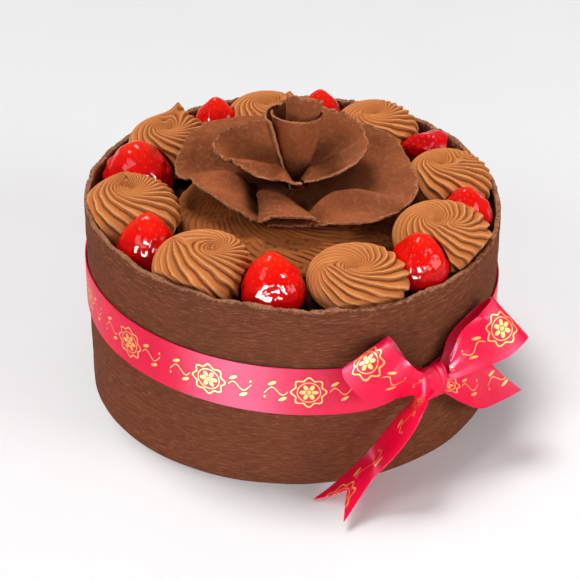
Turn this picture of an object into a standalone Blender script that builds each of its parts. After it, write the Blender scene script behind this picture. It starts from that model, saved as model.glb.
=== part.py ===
"""Strawberry chocolate gateau, 200 mm across: a cake in a chocolate band with a tied ribbon.

On top stand a rose of thin chocolate sheets on a cream mound, piped rosettes and glazed strawberries.
Lengths are in millimetres in the tables below, and MM turns them into the scene's metres.
The origin is the centre of the cake's flat underside, +Z is up and -Y is the side with the bow.
Turns are in degrees about +Z, anticlockwise from +X.
"""

import math

import bmesh
import bpy
import numpy as np
from mathutils import Vector

MM = 0.001
GAP = 0.3
COLLECTION = "strawberry_chocolate_gateau"

# The cake and its band
BAND_RADIUS = 100.0
BAND_HEIGHT = 97.8
BAND_WALL = 2.6
# waves of the rim: how many round the cake, height, turn of the lowest point
BAND_WAVES = ((1, 3.6, -40), (2, 1.9, -40), (7, 0.4, 30), (16, 0.4, 70), (29, 0.4, 15))
BAND_SEGMENTS = 120
CAKE_TOP = 86.0
CAKE_EDGE = 3.0
CAKE_SEGMENTS = 64

# The cream
MOUND_RADIUS = 58.0
MOUND_HEIGHT = 12.6
MOUND_RIDGES = 24
MOUND_RINGS = 8
MOUND_TWIST = 2.2
ROPE_PART = 0.532
ROPE_END = 243.0
ROSETTE_RIDGES = 20
ROSETTE_RINGS = 9
RIDGE_DEPTH = 1.3
SWIRL = 1.05
PEAK_SPREAD = 4.5
# cream leans out over the band from so far under its rim, by so much for each millimetre of height
RIM_START = 5.0
RIM_LEAN = 0.5
CREAM_GAP = 0.9
POLE = 0.999
# turn about the cake, distance from its axis, radius over all, part of the full height, then the swirl's centre
# and the peak, each as how far right and how far back of the rosette's middle, and the peak's height
ROSETTES = (
    (-166.0, 78.5, 23.6, 1.0, (0.0, 7.5), (-4.2, 11.6), 2.4),
    (-121.0, 78.5, 22.9, 1.0, (6.0, 0.5), (-12.8, 2.0), 3.0),
    (-68.0, 78.5, 23.4, 0.84, (-2.0, -4.0), (-15.5, -8.0), 3.0),
    (-28.4, 78.8, 23.3, 0.95, (-3.6, -2.0), (4.0, -10.0), 1.5),
    (10.2, 76.9, 21.4, 1.05, (-4.6, 2.0), (8.0, 2.0), 1.5),
    (57.4, 78.0, 22.2, 1.0, (-0.7, 3.8), (-8.0, -6.0), 1.5),
    (100.0, 78.0, 21.6, 1.0, (0.0, 2.0), (11.5, 2.0), 4.5),
    (141.7, 78.0, 22.2, 1.0, (-0.8, 2.4), (3.0, 15.0), 5.5),
)

# The strawberries, hulled flat: place of the stem end (turn, distance, height), place of the tip, widest radius
BERRIES = (
    ((-144.1, 82.0, 87.0), (-146.0, 79.5, 112.5), 14.8),
    ((-96.0, 81.2, 87.0), (-97.0, 79.0, 112.8), 15.3),
    ((-46.2, 82.1, 87.0), (-45.4, 82.4, 110.8), 14.8),
    ((-9.0, 83.6, 87.0), (-9.5, 82.5, 109.5), 13.2),
    ((30.3, 88.9, 97.1), (42.5, 72.0, 97.4), 10.7),
    ((80.3, 82.0, 87.0), (80.6, 83.5, 112.5), 12.8),
    ((118.6, 82.3, 87.0), (118.8, 82.5, 112.5), 13.8),
    ((163.8, 78.8, 87.0), (163.6, 79.0, 113.5), 18.1),
)
BERRY_SEGMENTS = 14
BERRY_RINGS = 9
# where the berry's profile is cut off at the stem end, and how far its soft ribs dip
BERRY_CUT = 0.12
BERRY_RIBS = 0.035

# The rose: every rim is a list of (turn, distance from the rose's axis, height)
SHEET = 1.5
ROSE_AXIS = (1.3, 2.0)
LOW_FOOT = (6.2, 101.6)
MID_FOOT = (7.2, 107.2)
BOWL_CURVE = 1.6
LOW_LEFT_RIM = (
    (95, 56, 112), (107, 55, 112), (122, 58, 112.5), (136, 62, 112.5), (150, 62, 111),
    (165, 60, 107.5), (176, 58.5, 107), (185, 56, 109), (200, 50.5, 110.5), (216, 46.5, 110),
    (229, 45, 108), (239, 42.5, 104.5), (246, 41.0, 102.0),
)
LOW_RIGHT_RIM = (
    (89, 55, 112), (68, 55, 112), (50, 56, 112), (39, 60, 110), (22, 57.5, 108), (5, 57.5, 106.5),
    (-8, 59.5, 105.5), (-17, 57.5, 102.5), (-37, 54, 103), (-56, 49, 104), (-69, 42.5, 102.5),
    (-79, 38.5, 100.6), (-91, 37.0, 99.9), (-103, 37.5, 99.8), (-110, 38.5, 99.9),
)
MID_LEFT_RIM = (
    (92, 33, 123), (110, 32, 122), (140, 35.5, 122), (160, 40, 121), (179, 39.5, 120),
    (191, 34.5, 118), (215, 27.5, 117), (242, 23.5, 116), (277, 24, 115.5),
)
MID_RIGHT_RIM = (
    (88, 34, 126), (67, 36, 127), (52, 38, 126), (36, 38, 125), (22, 36.5, 122), (9, 35, 119),
    (-8, 29.5, 117), (-34, 24, 116), (-58, 21, 115), (-79, 21, 115),
)
# folds in a petal: the line they follow as (turn, distance) points, height, width
LOW_LEFT_FOLDS = (
    (((194, 57), (196, 45), (201, 29)), 8.5, 5.5), (((222, 22), (240, 34)), -3, 7), (((150, 26), (158, 48)), -4.5, 11),
)
LOW_RIGHT_FOLDS = (
    (((289, 35), (306, 32), (321, 36.5), (329, 46), (333, 55)), 9.5, 5.0), (((300, 18), (335, 22)), -3, 5),
    (((354, 33), (360, 47)), -3.5, 8), (((50, 24), (40, 46)), -3, 12),
)
MID_LEFT_FOLDS = (
    (((189, 38), (203, 29), (217, 20), (231, 15)), 8.0, 3.6), (((226, 24), (212, 30)), -1.5, 3.5),
    (((242, 10), (254, 22)), 5.5, 3.2), (((160, 14), (165, 28)), -3, 7),
)
MID_RIGHT_FOLDS = (
    (((297, 15), (345, 16), (3, 23.3), (9, 30), (13, 35)), 8.0, 3.8), (((330, 24), (350, 28)), -2.0, 4),
    (((50, 14), (40, 27)), -3, 6),
)
FOLD_SHARPNESS = 1.7
LOW_GRID = (17, 6)
MID_GRID = (15, 5)
# the arched front petal: its back and front points, and its half widths and heights there
FLAP_BACK = (-11, -17, 106.5)
FLAP_FRONT = (-1.4, -38.5, 103.7)
FLAP_HALF_WIDTHS = (5.6, 14.0)
FLAP_ARCHES = (3.0, 5.0)
FLAP_GRID = (8, 5)
# the rolled sheets: foot and mouth as (distance, height), first and last turn, how far the mouth is moved, how far
# it is tilted, and how far the free end stands out
CONE = ((2.4, 101.4), (11.6, 140.5), (165.0, 585.0), (0.0, 0.0), 1.2, 2.6)
CORE = ((3.0, 118.0), (7.0, 148.4), (40.0, 480.0), (3.6, -0.6), 4.8, 0.0)
CONE_GRID = (25, 5)
CORE_GRID = (19, 3)
ROLL_SHEET = 1.2
TURN_GROWTH = 2.2
FREE_END = 0.86

# The ribbon and its bow
RIBBON_WIDTH = 25.0
RIBBON_SHEET = 0.5
RIBBON_FOOT = 40.0
RIBBON_SLOPE = (-0.052, -0.007)
RIBBON_SEGMENTS = 80
BOW_TURN = -52.9
BOW_DISTANCE = 106.2
BOW_HEIGHT = 48.2
KNOT_SIZE = (13.6, 9.8, 16.8)
# paths of the bow's strips seen from the knot: along the band, away from it, up; then the width's direction
LEFT_LOOP = (
    ((-7.2, -2.6, 2.4), (-0.06, 0.12, 0.99), 0.42), ((-22.0, -4.5, 11.1), (0.46, 0.18, 0.87), 0.90),
    ((-29.2, -7.0, 19.9), (0.80, 0.05, 0.60), 0.98), ((-35.0, -6.0, 26.9), (0.95, 0.05, 0.31), 1.0),
    ((-37.6, -1.5, 25.0), (0.81, 0.19, 0.55), 1.0), ((-30.0, 1.5, 14.7), (0.78, 0.08, 0.63), 1.0),
    ((-19.4, 3.0, 9.2), (0.30, 0.28, 0.91), 0.75), ((-7.4, 2.4, 3.6), (-0.03, 0.10, 0.99), 0.44),
)
RIGHT_LOOP = (
    ((7.9, -2.6, 2.6), (-0.10, -0.06, 0.99), 0.42), ((17.1, -4.3, 6.4), (-0.31, -0.08, 0.95), 0.88),
    ((33.8, -2.8, 12.6), (-0.40, -0.38, 0.83), 1.0), ((46.1, -2.0, 15.7), (-0.38, -0.60, 0.71), 1.0),
    ((42.9, 3.0, 18.3), (-0.38, -0.62, 0.69), 1.0), ((31.8, 5.0, 14.8), (-0.36, -0.49, 0.80), 1.0),
    ((17.5, 5.0, 12.3), (-0.36, -0.23, 0.90), 0.90), ((8.2, 2.2, 5.0), (0.05, -0.04, 0.99), 0.48),
)
SHORT_TAIL = (
    ((7.5, -0.6, -5.3), (-0.13, -0.06, 0.99), 0.38), ((16.6, 0.9, -9.1), (-0.13, -0.10, 0.98), 0.78),
    ((28.0, 0.0, -15.0), (-0.16, -0.16, 0.97), 1.0), ((42.9, -4.3, -20.0), (-0.21, -0.23, 0.95), 1.0),
    ((61.0, -9.0, -24.3), (-0.28, -0.23, 0.93), 1.0),
)
# how much shorter the short tail is along its upper edge, as a part of its length
SHORT_TAIL_SLANT = 0.2
# stations of the long tail: (turn, distance, height) of the edge by the cake, then the width's direction
LONG_TAIL = (
    ((-58.6, 103.4, 37.6), (0.36, -0.75, 0.56), 0.74), ((-61.3, 103.3, 34.0), (0.36, -0.75, 0.56), 0.97),
    ((-65.2, 103.3, 27.1), (0.42, -0.77, 0.49), 1.0), ((-70.3, 103.4, 16.6), (0.45, -0.75, 0.49), 1.0),
    ((-75.9, 104.0, 7.6), (0.48, -0.73, 0.49), 1.0), ((-80.3, 107.0, 3.1), (0.50, -0.79, 0.36), 1.0),
    ((-84.7, 112.5, 1.0), (0.53, -0.82, 0.17), 1.0),
)
# how far the notch runs up the long tail, as a part of its length
LONG_TAIL_NOTCH = 0.15
LOOP_GRID = (22, 2)
SHORT_TAIL_GRID = (9, 3)
LONG_TAIL_GRID = (15, 4)
KNOT_SEGMENTS = 16
KNOT_RINGS = 7
# the knot's width at its middle and at its end rings, as parts of the full width
KNOT_WAIST = 0.9
KNOT_END = 0.82


def clear_scene():
    for obj in list(bpy.data.objects):
        bpy.data.objects.remove(obj, do_unlink=True)


def new_collection(name):
    collection = bpy.data.collections.new(name)
    bpy.context.scene.collection.children.link(collection)
    return collection


def linear(value):
    """The linear light of an sRGB value from 0 to 255."""
    value /= 255
    return value / 12.92 if value <= 0.04045 else ((value + 0.055) / 1.055) ** 2.4


def new_material(name, srgb, roughness):
    material = bpy.data.materials.new(name)
    material.use_nodes = True
    shader = material.node_tree.nodes["Principled BSDF"]
    shader.inputs["Base Color"].default_value = (*map(linear, srgb), 1)
    shader.inputs["Roughness"].default_value = roughness
    shader.inputs["Metallic"].default_value = 0
    return material


def polar(turn, distance, height):
    """A point in metres from a turn in degrees and lengths in millimetres."""
    a = math.radians(turn)
    return Vector((distance * math.cos(a), distance * math.sin(a), height)) * MM


def smooth_path(points, s):
    """The point at s, from 0 to 1, of a Catmull-Rom curve through evenly spaced points of any dimension."""
    points = [np.asarray(p, float) for p in points]
    points = [2 * points[0] - points[1], *points, 2 * points[-1] - points[-2]]
    at = min(max(s, 0), 1) * (len(points) - 3)
    i = min(int(at), len(points) - 4)
    f = at - i
    a, b, c, d = points[i : i + 4]
    return 0.5 * (2 * b + (c - a) * f + (2 * a - 5 * b + 4 * c - d) * f**2 + (3 * b - a - 3 * c + d) * f**3)


def link_mesh(collection, name, bm, material):
    mesh = bpy.data.meshes.new(name)
    bm.to_mesh(mesh)
    bm.free()
    mesh.shade_smooth()
    mesh.set_sharp_from_angle(angle=math.radians(50))
    mesh.materials.append(material)
    obj = bpy.data.objects.new(name, mesh)
    collection.objects.link(obj)
    return obj


def solidify(obj, thickness, offset):
    modifier = obj.modifiers.new("Thickness", "SOLIDIFY")
    modifier.thickness = thickness * MM
    modifier.offset = offset
    modifier.use_even_offset = True


def round_solid(collection, name, around, rings, place, material):
    """A UV sphere with its points moved by place(s, a): s runs from 0 at the top pole to 1 below, a is the turn."""
    bm = bmesh.new()
    bmesh.ops.create_uvsphere(bm, u_segments=around, v_segments=rings, radius=1)
    for vert in bm.verts:
        s = math.acos(max(-1, min(1, vert.co.z))) / math.pi
        vert.co = place(s, math.atan2(vert.co.y, vert.co.x))
    return link_mesh(collection, name, bm, material)


def sheet(collection, name, faces, place, thickness, material):
    """A grid of (columns, rows) with its points moved by place(u, v), both from 0 to 1, and given a thickness."""
    bm = bmesh.new()
    bmesh.ops.create_grid(bm, x_segments=faces[0], y_segments=faces[1], size=0.5)
    for vert in bm.verts:
        vert.co = place(vert.co.x + 0.5, vert.co.y + 0.5)
    bmesh.ops.triangulate(bm, faces=bm.faces)
    obj = link_mesh(collection, name, bm, material)
    solidify(obj, thickness, 0)
    return obj


def open_tube(collection, name, segments, place, material):
    """A cylinder's wall with its points moved by place(top, a): top is 0 or 1, a is the turn."""
    bm = bmesh.new()
    bmesh.ops.create_cone(bm, cap_ends=False, segments=segments, radius1=1, radius2=1, depth=1)
    for vert in bm.verts:
        vert.co = place(vert.co.z > 0, math.atan2(vert.co.y, vert.co.x))
    return link_mesh(collection, name, bm, material)


def band_top(a):
    """The ragged height of the band's rim at turn a."""
    return BAND_HEIGHT - sum(size * math.cos(count * (a - math.radians(low))) for count, size, low in BAND_WAVES)


def make_cake(collection, material):
    """The cake inside the band, turned from a profile that runs down its outer side."""
    radius = BAND_RADIUS - BAND_WALL - GAP
    profile = (
        (0, CAKE_TOP), (radius - CAKE_EDGE, CAKE_TOP), (radius - 0.3 * CAKE_EDGE, CAKE_TOP - 0.3 * CAKE_EDGE),
        (radius, CAKE_TOP - CAKE_EDGE), (radius, 0), (0, 0),
    )
    mesh = bpy.data.meshes.new("cake_body")
    points = [(x * MM, 0, z * MM) for x, z in profile]
    mesh.from_pydata(points, [(i, i + 1) for i in range(len(points) - 1)], [])
    mesh.materials.append(material)
    obj = bpy.data.objects.new("cake_body", mesh)
    collection.objects.link(obj)
    screw = obj.modifiers.new("Turned", "SCREW")
    screw.steps = screw.render_steps = CAKE_SEGMENTS
    screw.use_merge_vertices = True
    screw.merge_threshold = 0.0001
    screw.use_smooth_shade = False


def make_band(collection, material):
    def place(top, a):
        height = band_top(a) if top else 0
        return polar(math.degrees(a), BAND_RADIUS, height)

    obj = open_tube(collection, "chocolate_band", BAND_SEGMENTS, place, material)
    solidify(obj, BAND_WALL, -1)


def make_ribbon(collection, material):
    radius = BAND_RADIUS + GAP + 0.1

    def place(top, a):
        x, y = radius * math.cos(a), radius * math.sin(a)
        height = RIBBON_FOOT + RIBBON_SLOPE[0] * x + RIBBON_SLOPE[1] * y + top * RIBBON_WIDTH
        return Vector((x, y, height)) * MM

    obj = open_tube(collection, "ribbon_band", RIBBON_SEGMENTS, place, material)
    solidify(obj, RIBBON_SHEET, 1)


def berry_profile(t):
    """A strawberry's radius as a part of its widest: t is 0 at the cut stem end and 1 at the tip."""
    part = BERRY_CUT + (1 - BERRY_CUT) * t
    return math.sin(math.pi * part**0.64) ** 0.6 if 0 <= t < 1 else 0.0


def berry_frame(berry):
    stem = polar(*berry[0])
    axis = polar(*berry[1]) - stem
    return stem, axis.normalized(), axis.length, berry[2] * MM


def inside_berry(point, berry, gap):
    stem, axis, length, radius = berry_frame(berry)
    along = (point - stem).dot(axis)
    across = (point - stem - along * axis).length
    t = (along + gap) / (length + 2 * gap)
    return 0 < t < 1 and across < (radius + gap) * berry_profile(t)


def make_berry(collection, name, berry, material):
    stem, axis, length, radius = berry_frame(berry)
    side = axis.orthogonal().normalized()
    other = axis.cross(side)

    def place(s, a):
        t = max(1 - s * BERRY_RINGS / (BERRY_RINGS - 1), 0)
        uneven = 1 - BERRY_RIBS * (1 + math.cos(3 * a + berry[0][0]))
        across = radius * berry_profile(t) * uneven if s < POLE else 0
        point = stem + axis * length * t + (side * math.cos(a) + other * math.sin(a)) * across
        point.z = max(point.z, (CAKE_TOP + GAP) * MM)
        return point

    round_solid(collection, name, BERRY_SEGMENTS, BERRY_RINGS, place, material)


def clear_of_neighbours(centre, offset, gap):
    """The offset from a rosette's centre, drawn in where it would reach the band or a strawberry."""

    def blocked(part):
        point = centre + Vector((offset.x * part, offset.y * part, offset.z))
        above = point.z / MM - band_top(math.atan2(point.y, point.x)) - 1
        lean = RIM_LEAN * above if above > -RIM_START - 1 else 0
        wall = BAND_RADIUS - BAND_WALL - GAP + lean
        beyond = math.hypot(point.x, point.y) > wall * MM
        return beyond or any(inside_berry(point, berry, gap) for berry in BERRIES)

    if not blocked(1):
        return offset
    low, high = 0.0, 1.0
    for _ in range(20):
        middle = (low + high) / 2
        low, high = (low, middle) if blocked(middle) else (middle, high)
    return Vector((offset.x * low, offset.y * low, offset.z))


def make_rosette(collection, name, turn, distance, radius, tall, swirl_centre, peak, peak_height, material):
    """A ring of piped rope with ridges that curl out of its centre, and a small peak where the nozzle left."""
    rope = ROPE_PART * radius
    ring = radius - rope
    start = math.acos(ring / rope)
    end = math.radians(ROPE_END)
    base = CAKE_TOP + GAP
    centre = polar(turn, distance, 0)

    def place(s, a):
        if s > POLE:
            return centre + Vector((0, 0, base)) * MM
        b = start + (end - start) * s * ROSETTE_RINGS / (ROSETTE_RINGS - 1)
        out = max(ring - rope * math.cos(b), 0)
        height = base + rope * tall * (math.sin(b) - math.sin(end))
        groove = 0.5 - 0.5 * math.cos(ROSETTE_RIDGES * a)
        depth = RIDGE_DEPTH * groove * min(1, out / 6)
        swirled = a + SWIRL * math.log((out + 3) / (radius + 3))
        out = max(out - depth * abs(math.cos(b)), 0)
        height -= depth * max(math.sin(b), 0)
        inward = (1 - min(out / radius, 1)) ** 1.5
        x = out * math.cos(swirled) + swirl_centre[0] * inward
        y = out * math.sin(swirled) + swirl_centre[1] * inward
        if b < math.pi:
            height += peak_height * math.exp(-((x - peak[0]) ** 2 + (y - peak[1]) ** 2) / PEAK_SPREAD**2)
        offset = Vector((x, y, height)) * MM
        return centre + clear_of_neighbours(centre, offset, CREAM_GAP * MM)

    round_solid(collection, name, 2 * ROSETTE_RIDGES, ROSETTE_RINGS, place, material)


def make_mound(collection, material):
    """The low swirl of cream that carries the rose, with ridges that wind round it."""
    base = CAKE_TOP + GAP

    def place(s, a):
        if s > POLE:
            return Vector((0, 0, base)) * MM
        part = min(s * MOUND_RINGS / (MOUND_RINGS - 1), 1)
        out = MOUND_RADIUS * math.sin(part * math.pi / 2)
        groove = 0.5 - 0.5 * math.cos(MOUND_RIDGES * a)
        height = base + MOUND_HEIGHT * max(1 - (out / MOUND_RADIUS) ** 2.4, 0) ** 0.6
        out -= RIDGE_DEPTH * groove * min(1, out / 12)
        swirled = a + MOUND_TWIST * math.log((out + 6) / MOUND_RADIUS)
        return Vector((out * math.cos(swirled), out * math.sin(swirled), height)) * MM

    round_solid(collection, "cream_mound", 2 * MOUND_RIDGES, MOUND_RINGS, place, material)


def fold_height(folds, point, v):
    """How far the folds lift a petal's surface at a point, v being 0 at the foot and 1 at the rim."""
    lift = 0
    for line, height, width in folds:
        corners = [Vector((d * math.cos(math.radians(t)), d * math.sin(math.radians(t)))) for t, d in line]
        nearest = 1e9
        for a, b in zip(corners, corners[1:]):
            part = (point - a).dot(b - a) / (b - a).length_squared
            nearest = min(nearest, (point - a - (b - a) * min(max(part, 0), 1)).length)
        lift += height * math.exp(-((nearest / width) ** FOLD_SHARPNESS))
    return lift * math.sin(math.pi * min(v, 1) ** 1.2) ** 0.6


def make_petal(collection, name, rim, foot, folds, faces, material):
    """A bowl-shaped sheet from the foot up to its uneven rim."""

    def place(u, v):
        turn, distance, height = smooth_path(rim, u)
        out = foot[0] + (distance - foot[0]) * v
        point = Vector((out * math.cos(math.radians(turn)), out * math.sin(math.radians(turn))))
        rise = foot[1] + (height - foot[1]) * v**BOWL_CURVE + fold_height(folds, point, v)
        return Vector((ROSE_AXIS[0] + point.x, ROSE_AXIS[1] + point.y, rise)) * MM

    sheet(collection, name, faces, place, SHEET, material)


def make_rolled_sheet(collection, name, roll, faces, material):
    """A sheet rolled into a funnel, each turn wider than the one inside it, with its mouth moved and tilted."""
    foot, mouth, turns, shift, tilt, flare = roll

    def place(u, v):
        turn = turns[0] + (turns[1] - turns[0]) * u
        grown = TURN_GROWTH * (turn - turns[0]) / 360
        free = min(max((u - FREE_END) / (1 - FREE_END), 0), 1)
        out = foot[0] + (mouth[0] - foot[0]) * v**0.85 + grown * (0.45 + 0.55 * v)
        out += flare * v * free * free * (3 - 2 * free)
        rise = foot[1] + (mouth[1] - foot[1]) * v
        rise -= tilt * v**3 * math.sin(math.radians(turn) + 0.3)
        a = math.radians(turn)
        x = ROSE_AXIS[0] + shift[0] * v + out * math.cos(a)
        y = ROSE_AXIS[1] + shift[1] * v + out * math.sin(a)
        return Vector((x, y, rise)) * MM

    sheet(collection, name, faces, place, ROLL_SHEET, material)


def make_flap(collection, name, material):
    """An arched sheet like half a funnel: it widens from its back point to a mouth at the front point."""
    back, front = Vector(FLAP_BACK), Vector(FLAP_FRONT)

    def place(u, v):
        a = math.pi * (1 - u)
        half = FLAP_HALF_WIDTHS[0] + (FLAP_HALF_WIDTHS[1] - FLAP_HALF_WIDTHS[0]) * v**1.3
        arch = FLAP_ARCHES[0] + (FLAP_ARCHES[1] - FLAP_ARCHES[0]) * v
        lip = 1 + 0.12 * math.sin(a) * v**4
        point = back + (front - back) * v * lip
        return (point + Vector((-half * math.cos(a), 0, arch * math.sin(a)))) * MM

    sheet(collection, name, FLAP_GRID, place, SHEET, material)


def make_rose(collection, material):
    make_petal(collection, "rose_petal_low_left", LOW_LEFT_RIM, LOW_FOOT, LOW_LEFT_FOLDS, LOW_GRID, material)
    make_petal(collection, "rose_petal_low_right", LOW_RIGHT_RIM, LOW_FOOT, LOW_RIGHT_FOLDS, LOW_GRID, material)
    make_petal(collection, "rose_petal_mid_left", MID_LEFT_RIM, MID_FOOT, MID_LEFT_FOLDS, MID_GRID, material)
    make_petal(collection, "rose_petal_mid_right", MID_RIGHT_RIM, MID_FOOT, MID_RIGHT_FOLDS, MID_GRID, material)
    make_flap(collection, "rose_petal_low_front", material)
    make_rolled_sheet(collection, "rose_cone", CONE, CONE_GRID, material)
    make_rolled_sheet(collection, "rose_core", CORE, CORE_GRID, material)


def bow_axes():
    """The knot's middle, and the directions along the band, away from it and up."""
    a = math.radians(BOW_TURN)
    along = Vector((-math.sin(a), math.cos(a), 0))
    away = Vector((math.cos(a), math.sin(a), 0))
    return polar(BOW_TURN, BOW_DISTANCE, BOW_HEIGHT), along, away, Vector((0, 0, 1))


def from_knot(place):
    knot, along, away, up = bow_axes()
    return knot + (along * place[0] + away * place[1] + up * place[2]) * MM


def strip(collection, name, stations, faces, end, material):
    """A ribbon strip: stations are (middle, direction across, part of the full width), end shapes its last row."""
    middles = [s[0] for s in stations]
    acrosses = [s[1] for s in stations]
    widths = [s[2] for s in stations]

    def place(u, v):
        reach = u * end(v)
        middle = Vector(smooth_path(middles, reach))
        across = Vector(smooth_path(acrosses, reach)).normalized()
        width = RIBBON_WIDTH * float(smooth_path(widths, reach)) * MM
        return middle + across * width * (v - 0.5)

    sheet(collection, name, faces, place, RIBBON_SHEET, material)


def knot_stations(stations):
    """Stations given from the knot, turned into the cake's own frame."""
    origin = from_knot((0, 0, 0))
    return [(from_knot(middle), (from_knot(across) - origin) / MM, width) for middle, across, width in stations]


def tail_stations(stations):
    """Stations given by the edge next to the cake, moved to the strip's middle."""
    moved = []
    for edge, across, width in stations:
        across = Vector(across).normalized()
        moved.append((polar(*edge) + across * RIBBON_WIDTH * width * 0.5 * MM, across, width))
    return moved


def make_knot(collection, material):
    along_size, away_size, up_size = KNOT_SIZE
    knot, along, away, up = bow_axes()

    def place(s, a):
        ring = round(s * KNOT_RINGS)
        part = (ring - 1) / (KNOT_RINGS - 2)
        x = math.cos(math.pi * min(max(part, 0), 1))
        full = {0: 0, 1: KNOT_END, KNOT_RINGS - 1: KNOT_END, KNOT_RINGS: 0}.get(ring, 1)
        waist = full * (KNOT_WAIST + (1 - KNOT_WAIST) * x * x)
        y = 0.5 * away_size * waist * math.sin(a)
        z = 0.5 * up_size * waist * math.cos(a)
        return knot + (along * 0.5 * along_size * x + away * y + up * z) * MM

    round_solid(collection, "bow_knot", KNOT_SEGMENTS, KNOT_RINGS, place, material)


def make_bow(collection, material):
    make_knot(collection, material)
    strip(collection, "bow_loop_left", knot_stations(LEFT_LOOP), LOOP_GRID, lambda v: 1, material)
    strip(collection, "bow_loop_right", knot_stations(RIGHT_LOOP), LOOP_GRID, lambda v: 1, material)
    strip(
        collection, "bow_tail_short", knot_stations(SHORT_TAIL), SHORT_TAIL_GRID,
        lambda v: 1 - SHORT_TAIL_SLANT * v, material,
    )
    strip(
        collection, "bow_tail_long", tail_stations(LONG_TAIL), LONG_TAIL_GRID,
        lambda v: 1 - LONG_TAIL_NOTCH * (1 - abs(2 * v - 1)), material,
    )


def main():
    clear_scene()
    collection = new_collection(COLLECTION)
    chocolate = new_material("cake_chocolate", (58, 34, 26), 0.35)
    band = new_material("band_chocolate", (104, 62, 46), 0.5)
    cream = new_material("cream", (184, 122, 74), 0.6)
    rose = new_material("rose_chocolate", (134, 86, 64), 0.45)
    berry = new_material("strawberry", (222, 22, 18), 0.15)
    ribbon = new_material("ribbon_satin", (244, 34, 92), 0.4)
    make_cake(collection, chocolate)
    make_band(collection, band)
    make_mound(collection, cream)
    for i, data in enumerate(ROSETTES, 1):
        make_rosette(collection, f"rosette_{i}", *data, cream)
    for i, data in enumerate(BERRIES, 1):
        make_berry(collection, f"strawberry_{i}", data, berry)
    make_rose(collection, rose)
    make_ribbon(collection, ribbon)
    make_bow(collection, ribbon)


main()
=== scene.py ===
"""Strawberry chocolate gateau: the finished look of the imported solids, built as an add-on's operators.

Every solid gets a finer surface, computed with numpy from the same formulas as the solid, and a material made
of nodes. Lengths are in millimetres in the tables and formulas, and put_mesh turns them into metres. The origin
is the centre of the cake's flat underside, +Z is up and -Y is the side with the bow. Turns are in degrees
about +Z, anticlockwise from +X.
"""

import math

import bpy
import numpy as np
from mathutils import Matrix


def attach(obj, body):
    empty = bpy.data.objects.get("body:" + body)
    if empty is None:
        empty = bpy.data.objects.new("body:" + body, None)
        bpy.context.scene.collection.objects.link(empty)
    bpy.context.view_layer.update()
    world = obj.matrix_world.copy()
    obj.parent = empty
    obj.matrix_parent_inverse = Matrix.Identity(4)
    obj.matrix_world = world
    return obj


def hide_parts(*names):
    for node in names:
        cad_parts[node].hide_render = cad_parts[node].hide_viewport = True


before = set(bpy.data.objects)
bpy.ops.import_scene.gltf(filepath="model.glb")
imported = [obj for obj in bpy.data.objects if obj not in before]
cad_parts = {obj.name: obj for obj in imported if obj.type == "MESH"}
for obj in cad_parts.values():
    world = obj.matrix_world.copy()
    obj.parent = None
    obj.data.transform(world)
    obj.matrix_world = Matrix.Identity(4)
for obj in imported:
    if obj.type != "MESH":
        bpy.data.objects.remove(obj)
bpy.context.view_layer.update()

bl_info = {
    "name": "Strawberry chocolate gateau",
    "version": (1, 0, 0),
    "blender": (4, 5, 0),
    "location": "3D View > Sidebar > Gateau",
    "description": "Builds a chocolate gateau with piped cream, strawberries, a chocolate rose and a ribbon",
    "category": "Add Mesh",
}

MM = 0.001

# The band: waves of its rim as (how many round the cake, height, turn of the lowest point)
BAND_WAVES = ((1, 3.6, -40), (2, 1.9, -40), (7, 0.4, 30), (16, 0.4, 70), (29, 0.4, 15))
# the gap left between pieces that touch on the real cake
GAP = 0.3

# The rosettes: turn about the cake, distance from its axis, radius over all, part of the full height, then the
# swirl's centre, the peak and the hollow beside it, each as how far right and how far back of the rosette's middle,
# the peak's height, and the turn of the side where the ridges are wound tightest
ROSETTES = (
    (-166.0, 78.5, 23.6, 1.0, (0.0, 7.5), (-4.2, 11.6), (-1.5, 9.0), 2.4, 200),
    (-121.0, 78.5, 22.9, 1.0, (6.0, 0.5), (-12.8, 2.0), (-8.0, 3.5), 3.0, 80),
    (-68.0, 78.5, 23.4, 0.84, (-2.0, -4.0), (-15.5, -8.0), (-6.0, -5.5), 3.0, 110),
    (-28.4, 78.8, 23.3, 0.95, (-3.6, -2.0), (4.0, -10.0), (-1.0, -6.5), 1.5, 180),
    (10.2, 76.9, 21.4, 1.05, (-4.6, 2.0), (8.0, 2.0), (3.0, 0.0), 1.5, 180),
    (57.4, 78.0, 22.2, 1.0, (-0.7, 3.8), (-8.0, -6.0), (-4.0, 0.0), 1.5, 180),
    (100.0, 78.0, 21.6, 1.0, (0.0, 2.0), (11.5, 2.0), (6.0, 3.0), 4.5, 160),
    (141.7, 78.0, 22.2, 1.0, (-0.8, 2.4), (3.0, 15.0), (-4.0, 8.0), 5.5, 240),
)
# the piped rope's radius as a part of the rosette's, the turn round the rope where its surface ends, and how many
# ridges wind round the swirl's centre and the peak
ROPE_PART = 0.532
ROPE_END = 243
CENTRE_RIDGES = 13
PEAK_RIDGES = 6
# how fast the ridges wind about each, and how much more tightly on the tight side
CENTRE_WINDING = 1.7
PEAK_WINDING = 0.9
TIGHTER = 0.2
# how deep the ridges are: a part of the distance between them, up to a limit
RIDGE_PART = 0.42
RIDGE_LIMIT = 1.9
# The mound: radius, height, how many scrapes, how deep they are and how far they wind
MOUND = (58.0, 12.6, 44, 1.25, 2.2)

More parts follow.
